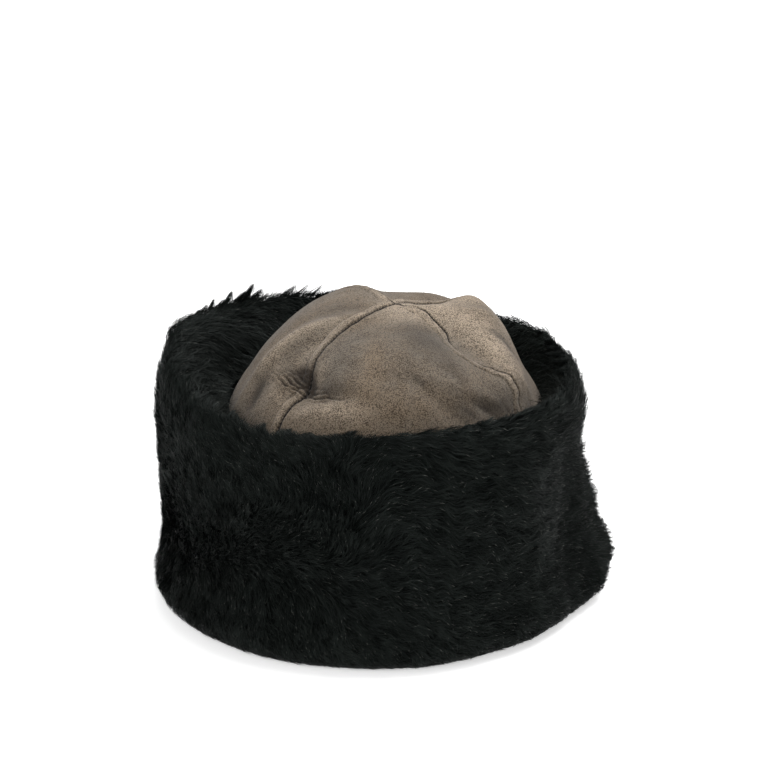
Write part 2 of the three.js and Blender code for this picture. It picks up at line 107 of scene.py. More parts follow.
@dataclass(frozen=True)
class Wrinkle:
    """A fine wrinkle that runs round the crown from the pinched stitch, to one side of it."""

    side: int
    reach: float
    start: float
    end: float
    rise: float


@dataclass(frozen=True)
class Ripple:
    """A wave along a line: its height, its pace, and how far each next line's wave is shifted."""

    height: float
    pace: float
    shift: float

    def at(self, along: Array, number: int) -> Array:
        """The wave's height at places along the line of a number."""
        return self.height * np.sin(along * self.pace + self.shift * number)


@dataclass(frozen=True)
class Seam:
    """A sewn seam: its levels, its bearing at each, and the side its allowance lies on."""

    name: str
    allowance_side: int
    levels: tuple[float, ...]
    bearings: tuple[float, ...]

    def bearing_at(self, level: Array) -> Array:
        """The seam's bearing at levels of the crown, eased from row to row."""
        levels = np.array(self.levels)
        held = np.clip(level, levels[0], levels[-1])
        low = np.clip(np.searchsorted(levels, held, side="left") - 1, 0, len(levels) - 2)
        share = (held - levels[low]) / (levels[low + 1] - levels[low])
        bearings = np.array(self.bearings)
        return mix(bearings[low], bearings[low + 1], ease(share))


@dataclass(frozen=True)
class PanelCut:
    """One crown panel: the seams that it runs between, and how finely it is divided across."""

    name: str
    start: str
    end: str
    turns: int
    columns: int


@dataclass(frozen=True)
class CuffSection:
    """The cuff's outline at one bearing: distances of the fur from the axis, and its height."""

    bearing: float
    foot: float
    waist: float
    chest: float
    brim: float
    ridge: float
    height: float


@dataclass(frozen=True)
class Dent:
    """A parting or hollow pressed into the outside of the fur."""

    name: str
    bearing: float
    z: float
    half_angle: float
    half_height: float
    depth: float


@dataclass(frozen=True)
class Nap:
    """How a kind of fur grows: lengths in mm, angles in degrees.

    The lift raises the tips, the loft spreads the hairs through a thicker layer, gather draws them
    into strands, spread is how much their headings differ, and lump how uneven the coat is.
    """

    length: float
    lift: float
    wave: float
    gather: float
    spread: float
    lump: float
    loft: float


class Fur(Enum):
    """The kinds of fur on the cuff."""

    PLAIN = Nap(length=12, lift=1.3, wave=12, gather=0.35, spread=14, lump=0.8, loft=0.8)
    SHORT = Nap(length=8.5, lift=1.5, wave=14, gather=0.22, spread=15, lump=0.6, loft=0.8)
    SLEEK = Nap(length=15, lift=0.8, wave=16, gather=0.45, spread=9, lump=0.9, loft=0.6)
    WAVY = Nap(length=13, lift=1.1, wave=34, gather=0.45, spread=11, lump=1.1, loft=0.6)
    FUZZY = Nap(length=9, lift=2.5, wave=20, gather=0.25, spread=28, lump=1.1, loft=0.8)
    ROUGH = Nap(length=9, lift=2.2, wave=34, gather=0.55, spread=30, lump=2.6, loft=0.5)
    RIM = Nap(length=13, lift=2.4, wave=16, gather=0.50, spread=19, lump=1.7, loft=1.0)
    SWEPT = Nap(length=23, lift=2.2, wave=12, gather=0.50, spread=12, lump=1.5, loft=4.5)
    BUSHY = Nap(length=15, lift=5.0, wave=34, gather=0.60, spread=30, lump=3.2, loft=8.0)


@dataclass(frozen=True)
class Lie:
    """How the fur lies at one place: its heading, 0 up the cuff and 90 towards higher bearings."""

    bearing: float
    place: float
    heading: float
    fur: Fur
    tone: float = 0


@dataclass(frozen=True)
class CoatPart:
    """A stretch of the fur between two bearings, and between a low and a high place."""

    name: str
    start: float
    end: float
    hairs: int
    segments: int
    width: float
    low: float = COAT_FOOT
    high: float = COAT_TOP


@dataclass(frozen=True)
class Wisp:
    """A tuft that stands out of the coat."""

    bearing: float
    place: float
    heading: float
    length: float
    lift: float
    hairs: int


@dataclass(frozen=True)
class Lamp:
    """A square soft light: where it hangs and how wide it is, in metres, and its power in watts."""

    name: str
    place: tuple[float, float, float]
    size: float
    power: float


CROWN_SECTIONS = (
    CrownSection(bearing=-140, side=80, shoulder=60, shoulder_z=160, crest_z=170),
    CrownSection(bearing=-90, side=78, shoulder=57, shoulder_z=160, crest_z=170),
    CrownSection(bearing=-42, side=79, shoulder=60, shoulder_z=155, crest_z=166),
    CrownSection(bearing=0, side=84, shoulder=63, shoulder_z=158, crest_z=167),
    CrownSection(bearing=50, side=80, shoulder=61, shoulder_z=156, crest_z=165),
    CrownSection(bearing=92, side=75, shoulder=57, shoulder_z=163, crest_z=169),
    CrownSection(bearing=135, side=79, shoulder=60, shoulder_z=161, crest_z=167),
    CrownSection(bearing=180, side=83, shoulder=62, shoulder_z=159, crest_z=166),
)

# The folds and dents of the solid model, a few of them narrower here, and after them the finer ones.
# A row gives a fold's name, bearing, reach, heading, length, width and rise.
CROWN_FOLDS = (
    Fold("peak", -140, 34, 0, 26, 20, 3),
    Fold("right crest", 126, 50, 10, 17, 11, 4.4),
    Fold("apex dip", 0, 0, 0, 14, 14, -0.8),
    Fold("front seam pinch", -39, 81, 90, 15, 9, -7),
    Fold("pinch crease right", -24, 83.5, 92, 17, 4.2, -2.4),
    Fold("left ridge", -69, 65, -12, 38, 7, 4.4),
    Fold("left valley", -83, 60, -8, 32, 7, -2.0),
    Fold("left hollow", -52, 64, 15, 18, 9, -2.4),
    Fold("right seam dip", 50, 55, 8, 26, 13, -6.5),
    Fold("right shoulder", 62, 84, 90, 26, 12, 3.6),
    Fold("front valley", 21, 88, 52, 19, 5, -2.3),
    Fold("low right valley", 36, 90, 64, 17, 4.5, -2.0),
    Fold("back valley", 138, 36, 0, 30, 12, -5),
)
FINE_FOLDS = (
    Fold("left thumb mark", -64, 92, 0, 10, 5, -0.9),
    Fold("hollow over the pinch", -44, 75, 70, 8, 4.5, -1.5),
    Fold("pinch point", -39.5, 81.5, 20, 3.5, 3, -1.3),
    Fold("bulge below the pinch", -27, 91, 92, 22, 4.6, 1.3),
    Fold("bulge left of the pinch", -52, 90, 80, 10, 4, 0.8),
    Fold("short crease", 2, 73, 55, 6, 2, -0.45),
    Fold("short slant", 12, 76, 50, 9, 2.2, -0.7),
    Fold("slant roll", 27, 79, 54, 14, 3.4, 0.9),
    Fold("low crease", 33, 94, 55, 9, 1.7, -0.9),
    Fold("low crease beside", 40, 93, 60, 9, 1.6, -0.8),
    Fold("low roll", 44, 89, 62, 10, 2.4, 0.7),
    Fold("hook crease", 49, 94, 35, 6, 1.4, -0.7),
    Fold("right shoulder crease", 68, 92, 30, 14, 3, 0.7),
    Fold("right panel roll", 88, 55, 4, 20, 7, 1.2),
    Fold("right panel crease", 76, 66, 20, 16, 3, -0.8),
)
WRINKLES = (
    Wrinkle(side=-1, reach=86.4, start=7, end=30, rise=0.55),
    Wrinkle(side=-1, reach=84.2, start=2.5, end=44, rise=1.05),
    Wrinkle(side=-1, reach=81.9, start=2, end=40, rise=1.15),
    Wrinkle(side=-1, reach=79.8, start=3, end=33, rise=0.95),
    Wrinkle(side=-1, reach=77.6, start=3.5, end=30, rise=1.0),
    Wrinkle(side=-1, reach=75.5, start=4.5, end=22, rise=0.75),
    Wrinkle(side=-1, reach=73.5, start=6, end=17, rise=0.55),
    Wrinkle(side=1, reach=83.3, start=1.5, end=40, rise=1.3),
    Wrinkle(side=1, reach=81.0, start=3, end=28, rise=0.8),
    Wrinkle(side=1, reach=78.8, start=5, end=20, rise=0.6),
    Wrinkle(side=1, reach=85.8, start=7, end=32, rise=0.5),
)

# Where the suede is darker or paler, warm or cool: rows like the folds', with an amount for the rise.
# Painted shade in the hollows, valleys and creases, low by the fur and on the left edge turned from the
# lamps, with a few dull patches of the suede's own.
DULL_AND_SHADED_PATCHES = (
    Fold("low right", 46, 95, 85, 17, 8, 0.75),
    Fold("valley", 26, 91, 60, 17, 5, 0.40),
    Fold("over the pinch", -46, 76, 80, 13, 6, 0.85),
    Fold("over the right crease", -26, 79, 92, 15, 4, 0.55),
    Fold("left edge", -92, 50, -8, 30, 6, 0.30),
    Fold("upper front", 20, 38, 0, 24, 17, 0.62),
    Fold("upper left", -74, 34, 0, 20, 12, 0.30),
    Fold("right of the middle", 30, 70, 8, 24, 9, 0.45),
)
# Painted highlights on the apex, the crests, the ridge and the right panel, which face the lamps, and
# painted light on the low crown, with some rubbed wear beside the seams.
RUBBED_AND_LIT_PATCHES = (
    Fold("apex", 60, 10, 0, 16, 24, 1.1),
    Fold("right crest", 118, 46, 5, 26, 13, 0.80),
    Fold("right panel", 66, 56, -10, 32, 12, 1.0),
    Fold("ridge", -68, 62, -12, 34, 5, 0.72),
    Fold("left of the pinch", -62, 78, 60, 12, 6, 0.30),
    Fold("left of the seam", -52, 60, 0, 18, 6, 0.40),
    Fold("beside the seam", -36, 74, 0, 14, 6, 0.50),
    Fold("low left", -60, 95, 90, 24, 10, 0.35),
    Fold("low front", -18, 92, 90, 26, 9, 0.45),
    Fold("back crest", -120, 24, 0, 20, 12, 0.25),
)
WARM_PATCHES = (
    Fold("front streak", -12, 64, 5, 26, 6, 0.8),
    Fold("low front", 8, 92, 90, 26, 8, 0.5),
    Fold("left flank", -86, 66, 0, 32, 8, 0.5),
    Fold("right flank", 90, 60, 0, 30, 16, 0.6),
    Fold("upper front", 18, 40, 0, 20, 15, -0.5),
    Fold("beside the seam", -31, 62, 0, 16, 8, -0.5),
    Fold("right of the middle", 24, 68, 0, 14, 10, -0.4),
)

SEAMS = (
    Seam("front_left", -1, (1, 1.1, 1.225, 1.285, 1.35, 1.42, 1.53, 1.7, 1.82, 2),
         (-43.5, -42.7, -42.4, -40.8, -41.7, -42.2, -43.8, -44.6, -43, -56)),
    Seam("front_right", -1, (1, 1.17, 1.24, 1.3, 1.38, 1.46, 1.55, 1.64, 1.78, 2),
         (54, 57.5, 59.5, 58.5, 53.5, 48, 43, 44.5, 54, 84)),
    Seam("back_right", 1, (1, 1.6, 1.79, 2), (128, 133, 145, 160)),
    Seam("back_left", 1, (1, 2), (-140, -150)),
)
SEAM_NAMED = {seam.name: seam for seam in SEAMS}

PANELS = (
    PanelCut("crown_front", "front_left", "front_right", turns=0, columns=86),
    PanelCut("crown_right", "front_right", "back_right", turns=0, columns=62),
    PanelCut("crown_back", "back_right", "back_left", turns=1, columns=56),
    PanelCut("crown_left", "back_left", "front_left", turns=0, columns=86),
)

CUFF_SECTIONS = (
    CuffSection(-140, foot=129, waist=127, chest=128, brim=132, ridge=125, height=145),
    CuffSection(-110, foot=130.5, waist=128, chest=129, brim=133, ridge=124, height=145),
    CuffSection(-88, foot=132.5, waist=128, chest=129, brim=130, ridge=119, height=140),
    CuffSection(-60, foot=131, waist=127, chest=127, brim=126, ridge=114, height=131),
    CuffSection(-38, foot=130, waist=128, chest=126, brim=121, ridge=108, height=126),
    CuffSection(0, foot=126, waist=126, chest=124, brim=118, ridge=106, height=132),
    CuffSection(35, foot=120, waist=119, chest=118, brim=115, ridge=104, height=133),
    CuffSection(62, foot=118, waist=112, chest=111, brim=112, ridge=104, height=134),
    CuffSection(88, foot=127, waist=115.5, chest=109, brim=110, ridge=103, height=134),
    CuffSection(105, foot=135.5, waist=123.5, chest=112, brim=112, ridge=104, height=135),
    CuffSection(135, foot=134, waist=123, chest=118, brim=117, ridge=109, height=138),
    CuffSection(180, foot=128, waist=125, chest=123, brim=124, ridge=116, height=141),
)

CUFF_DENTS = (
    Dent("left parting", -76, 42, half_angle=17, half_height=9, depth=2),
    Dent("middle parting", -45, 60, half_angle=18, half_height=9, depth=2),
    Dent("front parting", -14, 52, half_angle=14, half_height=9, depth=2),
    Dent("right valley", 66, 74, half_angle=8, half_height=62, depth=2.5),
    Dent("pelt seam", 0, 84, half_angle=4, half_height=44, depth=2.5),
)

# How the fur lies: a row gives a bearing, a place, the heading there, the kind of fur and its tone.
# The tone is partly the fur's own and partly painted light and shade: paler in the shaded crease on
# the left, the low fur and the hollow at the back right, darker down the front parting and on the
# right side and flare where the lamps light the fur most.
FUR_LIE = (
    Lie(-150, 0.45, 10, Fur.PLAIN),
    Lie(-150, 0.27, 160, Fur.PLAIN),
    Lie(-110, 0.50, 0, Fur.SHORT),
    Lie(-105, 0.29, 160, Fur.SHORT),
    Lie(-84, 0.48, 4, Fur.SHORT, 0.12),
    Lie(-85, 0.40, 22, Fur.SHORT, 0.12),
    Lie(-85, 0.345, 62, Fur.SHORT, 0.06),
    Lie(-84, 0.30, 112, Fur.SHORT, 0.08),
    Lie(-82, 0.25, 150, Fur.FUZZY, 0.12),
    Lie(-66, 0.48, 0, Fur.SHORT, 0.12),
    Lie(-66, 0.60, 0, Fur.SHORT, 0.12),
    Lie(-68, 0.41, 18, Fur.SHORT, 0.12),
    Lie(-68, 0.355, 60, Fur.SHORT, 0.04),
    Lie(-68, 0.31, 118, Fur.SHORT, 0.12),
    Lie(-66, 0.265, 145, Fur.FUZZY, 0.14),
    Lie(-57, 0.385, 22, Fur.SHORT, 0.08),
    Lie(-54, 0.262, 128, Fur.FUZZY, 0.14),
    Lie(-52, 0.44, -12, Fur.SHORT, 0.04),
    Lie(-46, 0.59, -50, Fur.SHORT),
    Lie(-45, 0.374, 28, Fur.SHORT, 0.06),
    Lie(-44, 0.352, 108, Fur.SHORT, 0.12),
    Lie(-46, 0.305, 160, Fur.SHORT),
    Lie(-36, 0.49, -36, Fur.SHORT, -0.06),
    Lie(-33, 0.60, -48, Fur.SHORT),
    Lie(-32, 0.396, 52, Fur.SHORT, -0.04),
    Lie(-32, 0.360, 112, Fur.SHORT, 0.12),
    Lie(-34, 0.310, 160, Fur.SHORT),
    Lie(-34, 0.255, 150, Fur.FUZZY, 0.22),
    Lie(-24, 0.39, 48, Fur.SHORT, -0.10),
    Lie(-21, 0.362, 115, Fur.SHORT, 0.08),
    Lie(-21, 0.315, 160, Fur.SHORT),
    Lie(-17, 0.645, -56, Fur.SHORT),
    Lie(-15, 0.53, -24, Fur.SHORT, -0.22),
    Lie(-11, 0.47, -10, Fur.SHORT, -0.26),
    Lie(-12, 0.42, 5, Fur.SHORT, -0.16),
    Lie(-12, 0.255, 140, Fur.FUZZY, 0.26),
    Lie(-7, 0.56, 66, Fur.SLEEK, -0.02),
    Lie(-5, 0.345, 110, Fur.WAVY),
    Lie(-2, 0.64, 96, Fur.SLEEK),
    Lie(-2, 0.41, 40, Fur.SLEEK),
    Lie(1, 0.45, 90, Fur.SLEEK),
    Lie(2, 0.37, 74, Fur.WAVY),
    Lie(3, 0.315, 118, Fur.SLEEK, 0.10),
    Lie(7, 0.66, 120, Fur.SLEEK, 0.04),
    Lie(8, 0.43, 140, Fur.SLEEK),
    Lie(10, 0.255, 110, Fur.FUZZY, 0.24),
    Lie(11, 0.60, 126, Fur.SLEEK),
    Lie(12, 0.36, 124, Fur.WAVY),
    Lie(19, 0.62, 108, Fur.SLEEK),
    Lie(20, 0.50, 104, Fur.WAVY),
    Lie(22, 0.43, 92, Fur.WAVY),
    Lie(23, 0.36, 102, Fur.WAVY),
    Lie(24, 0.29, 106, Fur.FUZZY, 0.05),
    Lie(36, 0.63, 96, Fur.SLEEK, 0.05),
    Lie(39, 0.50, 108, Fur.SLEEK),
    Lie(40, 0.37, 110, Fur.WAVY),
    Lie(38, 0.27, 118, Fur.FUZZY),
    Lie(57, 0.56, 88, Fur.SHORT, -0.40),
    Lie(57, 0.44, 96, Fur.SHORT, -0.40),
    Lie(57, 0.32, 108, Fur.SHORT, -0.40),
    Lie(80, 0.60, 45, Fur.RIM, -0.10),
    Lie(82, 0.36, 100, Fur.ROUGH, -0.22),
    Lie(90, 0.25, 140, Fur.ROUGH, -0.22),
    Lie(120, 0.50, 20, Fur.PLAIN),
    Lie(120, 0.27, 150, Fur.PLAIN),
    Lie(160, 0.48, 0, Fur.PLAIN),
    Lie(160, 0.27, 170, Fur.PLAIN),
    Lie(-62, 0.74, -60, Fur.RIM),
    Lie(-42, 0.74, -60, Fur.RIM),
    Lie(-20, 0.76, -50, Fur.RIM, -0.05),
    Lie(12, 0.76, 100, Fur.SLEEK),
    Lie(45, 0.74, 85, Fur.SLEEK),
    Lie(0, 0.92, 0, Fur.PLAIN),
    Lie(60, 0.92, 20, Fur.BUSHY),
    Lie(-60, 0.92, -20, Fur.BUSHY, -0.10),
    Lie(-76, 0.76, -66, Fur.SWEPT, -0.02),
    Lie(-84, 0.92, -30, Fur.BUSHY, -0.10),
    Lie(-92, 0.78, -72, Fur.SWEPT, -0.04),
    Lie(-103, 0.90, -34, Fur.SWEPT, -0.04),
    Lie(-114, 0.80, -84, Fur.SWEPT, -0.08),
    Lie(-118, 0.90, -40, Fur.SWEPT, -0.08),
    Lie(-122, 0.97, 5, Fur.BUSHY, -0.10),
    Lie(-130, 0.78, -78, Fur.RIM, -0.10),
    Lie(-145, 0.78, -60, Fur.RIM, -0.05),
    Lie(-155, 0.93, -15, Fur.RIM),
    Lie(170, 0.76, 0, Fur.RIM),
    Lie(140, 0.80, 40, Fur.RIM, -0.05),
    Lie(118, 0.76, 60, Fur.RIM, 0.20),
    Lie(100, 0.92, 25, Fur.BUSHY, -0.05),
    Lie(95, 0.74, 50, Fur.RIM),
    Lie(78, 0.78, 50, Fur.RIM, 0.06),
    Lie(82, 0.86, 45, Fur.BUSHY, 0.05),
)

COAT_PARTS = (
    CoatPart("fur_left_front", -60, 0, hairs=37500, segments=3, width=0.37),
    CoatPart("fur_left_side", -120, -60, hairs=28500, segments=3, width=0.41),
    CoatPart("fur_left_back", -180, -120, hairs=24000, segments=2, width=0.46),
    CoatPart("fur_right_front", 0, 60, hairs=25500, segments=4, width=0.44),
    CoatPart("fur_right_side", 60, 120, hairs=35000, segments=2, width=0.42),
    CoatPart("fur_right_back", 120, 180, hairs=21000, segments=2, width=0.48),
    CoatPart("fur_left_crease", -104, -40, hairs=9000, segments=2, width=0.38, low=0.29, high=0.47),
)

# Tufts that stand out of the rim, and a few that lean over the suede.
WISPS = (
    Wisp(-108, 0.735, -80, length=8, lift=5, hairs=90),
    Wisp(-112, 0.740, -80, length=8, lift=6, hairs=90),
    Wisp(-116, 0.745, -80, length=8, lift=7, hairs=100),
    Wisp(-119.5, 0.748, -80, length=8, lift=8, hairs=100),
    Wisp(-123, 0.750, -80, length=8, lift=10, hairs=130),
    Wisp(-126.5, 0.750, -80, length=8, lift=8, hairs=100),
    Wisp(-129.5, 0.750, -80, length=9, lift=12, hairs=150),
    Wisp(-133, 0.750, -70, length=9, lift=11, hairs=160),
    Wisp(-136, 0.752, -76, length=10, lift=15, hairs=220),
    Wisp(-139.5, 0.755, -80, length=9, lift=9, hairs=110),
    Wisp(-142.5, 0.755, -64, length=10, lift=15, hairs=10),
    Wisp(-145, 0.755, -80, length=11, lift=15, hairs=13),
    Wisp(-148, 0.755, -75, length=12, lift=17, hairs=16),
    Wisp(-149.5, 0.755, -88, length=10, lift=10, hairs=60),
    Wisp(-152.5, 0.755, -92, length=13, lift=12, hairs=40),
    Wisp(-156.5, 0.755, -92, length=11, lift=9, hairs=60),
    Wisp(-161, 0.760, -92, length=11, lift=7, hairs=60),
    Wisp(-98, 0.700, -40, length=9, lift=5, hairs=60),
    Wisp(-88, 0.700, -60, length=9, lift=6, hairs=60),
    Wisp(-70, 0.735, -70, length=12, lift=8, hairs=70),
    Wisp(-58, 0.740, -60, length=12, lift=8, hairs=70),
    Wisp(-46, 0.740, -60, length=11, lift=7, hairs=70),
    Wisp(-37, 0.740, -50, length=10, lift=8, hairs=90),
    Wisp(-29, 0.740, -40, length=11, lift=11, hairs=150),
    Wisp(-22, 0.740, -30, length=12, lift=11, hairs=150),
    Wisp(-13, 0.750, 50, length=12, lift=9, hairs=110),
    Wisp(92, 0.735, -30, length=9, lift=8, hairs=100),
    Wisp(98, 0.740, -50, length=9, lift=10, hairs=130),
    Wisp(104, 0.745, -50, length=9, lift=12, hairs=160),
    Wisp(110, 0.750, -60, length=9, lift=10, hairs=120),
    Wisp(116, 0.755, -70, length=10, lift=9, hairs=120),
    Wisp(124, 0.755, -70, length=10, lift=8, hairs=100),
)

LAMPS = (
    Lamp("top_light", (0.5, 0.5, 1.8), size=1.7, power=46),
    Lamp("front_light", (-0.9, -1.5, 1.1), size=1.5, power=13),
)


def ease(share: Array) -> Array:
    """A share from 0 to 1, eased at both ends."""
    return share * share * (3 - 2 * share)


def mix(low: Array, high: Array, share: Array) -> Array:
    """A value some share of the way from low to high."""
    return low + (high - low) * share


def fade(start: float, end: float, value: Array) -> Array:
    """0 up to start and 1 from end on, eased between them."""
    return ease(np.clip((value - start) / (end - start), 0, 1))


def bump(value: Array, centre: float, width: float) -> Array:
    """A smooth hump, 1 at its centre."""
    return np.exp(-(((value - centre) / width) ** 2))


def half_turn(degrees: Array) -> Array:
    """Degrees brought to between -180 and 180."""
    return (degrees + 180) % 360 - 180


def read_around(rows: Sequence, column: str, bearing: Array) -> Array:
    """Reads a table's column at bearings, eased from row to row all the way round.

    Args:
        rows: the table's rows, in order of bearing.
        column: the column's name.
        bearing: bearings in degrees.

    Returns:
        The column's value at each bearing.
    """
    bearings = np.array([row.bearing for row in rows], float)
    values = np.array([getattr(row, column) for row in rows], float)
    at = half_turn(np.asarray(bearing, float))
    high = np.searchsorted(bearings, at, side="right") % len(rows)
    low = (high - 1) % len(rows)
    span = (bearings[high] - bearings[low]) % 360
    passed = (at - bearings[low]) % 360
    return mix(values[low], values[high], ease(passed / span))


def smooth_through(values: Sequence[Array], place: Array) -> Array:
    """A smooth curve through a row of values.

    Args:
        values: the values, each a number or an array like place.
        place: places from 0 to the last value's number.

    Returns:
        The curve's value at each place.
    """
    place = np.asarray(place, float)
    table = np.stack([np.broadcast_to(np.asarray(value, float), place.shape) for value in values])
    last = len(values) - 1
    number = np.clip(np.floor(place).astype(int), 0, last - 1)
    t = place - number

    def pick(index: Array) -> Array:
        """The value of a number at each place, held at the row's ends."""
        return np.take_along_axis(table, np.clip(index, 0, last)[None], axis=0)[0]

    p1 = pick(number)
    p2 = pick(number + 1)
    p0 = np.where(number > 0, pick(number - 1), 2 * p1 - p2)
    p3 = np.where(number + 2 <= last, pick(number + 2), 2 * p2 - p1)
    square = 2 * p0 - 5 * p1 + 4 * p2 - p3
    cube = -p0 + 3 * p1 - 3 * p2 + p3
    return 0.5 * (2 * p1 + (p2 - p0) * t + square * t * t + cube * t * t * t)


def unit(vectors: Array) -> Array:
    """Vectors brought to length 1."""
    length = np.linalg.norm(vectors, axis=-1, keepdims=True)
    return vectors / np.maximum(length, 1e-12)


def around_axis(radius: Array, bearing: Array, z: Array, lean: Array = 0.0) -> Array:
    """Points at a distance and bearing from the hat's axis, pushed over by lean towards +X."""
    angle = np.asarray(bearing) * DEGREE
    x = lean + radius * np.sin(angle)
    return np.stack(np.broadcast_arrays(x, -radius * np.cos(angle), z), axis=-1)


def rough_noise(points: Array, size: float, seed: float = 0.0) -> Array:
    """Smooth noise from about -1 to 1 at each point, with swells of about the given size."""
    flat = np.asarray(points, float).reshape(-1, 3) / size + seed
    values = [noise.noise(Vector(point)) for point in flat]
    return np.array(values).reshape(np.shape(points)[:-1])


def hat_axis() -> Array:
    """Where the hat's axis stands in the frame, in metres: between the pelts, amid the crown."""
    x = (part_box("cuff_left")[1][0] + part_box("cuff_right")[0][0]) / 2
    y = (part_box("crown_front")[0][1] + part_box("crown_back")[1][1]) / 2
    return np.array([x, y, 0.0])


AXIS = hat_axis()


def to_frame(points: Array) -> Array:
    """Millimetres from the hat's axis as metres in the frame."""
    return points * MM + AXIS


def clear_selection() -> None:
    """Leaves object mode on and nothing selected."""
    if bpy.context.mode != "OBJECT":
        bpy.ops.object.mode_set(mode="OBJECT")
    bpy.ops.object.select_all(action="DESELECT")


def pick_object(piece: Object) -> None:
    """Makes a piece the only selected object, and the active one."""
    clear_selection()
    piece.select_set(True)
    bpy.context.view_layer.objects.active = piece


def vertex_places(piece: Object) -> Array:
    """The places of a piece's vertices, a row each."""
    places = np.empty(len(piece.data.vertices) * 3, np.float32)
    piece.data.vertices.foreach_get("co", places)
    return places.reshape(-1, 3).astype(float)


def move_vertices(piece: Object, places: Array) -> None:
    """Puts a piece's vertices at new places, given as a row each in metres."""
    piece.data.vertices.foreach_set("co", np.asarray(places, np.float32).ravel())
    piece.data.update()


def flat_cut(name: str, columns: int, rows: int) -> tuple[Object, Array, Array]:
    """A flat cut of hide, divided so that it can be drawn over a form.

    Args:
        name: the piece's name.
        columns: how many columns of vertices it has.
        rows: how many rows of vertices it has.

    Returns:
        The piece, and each vertex's column and row.
    """
    clear_selection()
    bpy.ops.mesh.primitive_grid_add(x_subdivisions=columns - 1, y_subdivisions=rows - 1, size=1)
    piece = bpy.context.active_object
    piece.name = name
    piece.data.name = name
    flat = vertex_places(piece)
    column = np.rint((flat[:, 0] + 0.5) * (columns - 1)).astype(int)
    row = np.rint((flat[:, 1] + 0.5) * (rows - 1)).astype(int)
    return piece, column, row


def apply_modifiers(piece: Object) -> None:
    """Applies all of a piece's modifiers, in order."""
    pick_object(piece)
    for name in [modifier.name for modifier in piece.modifiers]:
        bpy.ops.object.modifier_apply(modifier=name)


def select_vertices(piece: Object, chosen: Array) -> None:
    """Goes to edit mode on a piece with just the chosen vertices selected."""
    pick_object(piece)
    bpy.ops.object.mode_set(mode="EDIT")
    bpy.ops.mesh.select_mode(type="VERT")
    bpy.ops.mesh.select_all(action="DESELECT")
    bpy.ops.object.mode_set(mode="OBJECT")
    piece.data.vertices.foreach_set("select", np.asarray(chosen, bool))
    bpy.ops.object.mode_set(mode="EDIT")


def smooth_shaded(piece: Object) -> None:
    """Shades a piece smoothly."""
    pick_object(piece)
    bpy.ops.object.shade_smooth()


def paint_vertices(piece: Object, name: str, values: Array) -> None:
    """Stores a number for each vertex, for the piece's material to read."""
    attribute = piece.data.attributes.new(name, "FLOAT", "POINT")
    attribute.data.foreach_set("value", np.asarray(values, np.float32))


def hand_over(piece: Object, slot: str, *nodes: str) -> None:
    """Lets a finished piece ride with the hat and stand for CAD nodes, and reports it.

    Args:
        piece: the finished piece.
        slot: the record's material slot named for the piece; not used.
        nodes: the CAD nodes that it replaces, if any.
    """
    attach(piece, "root")
    if nodes:
        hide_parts(*nodes)
    piece.data.calc_loop_triangles()
    log.info("%s: %d triangles", piece.name, len(piece.data.loop_triangles))


class Grain(Enum):
    """The shared effects that finishes are made of, each a node group of that name."""

    MOTTLE = "mottle"
    NAP = "nap"


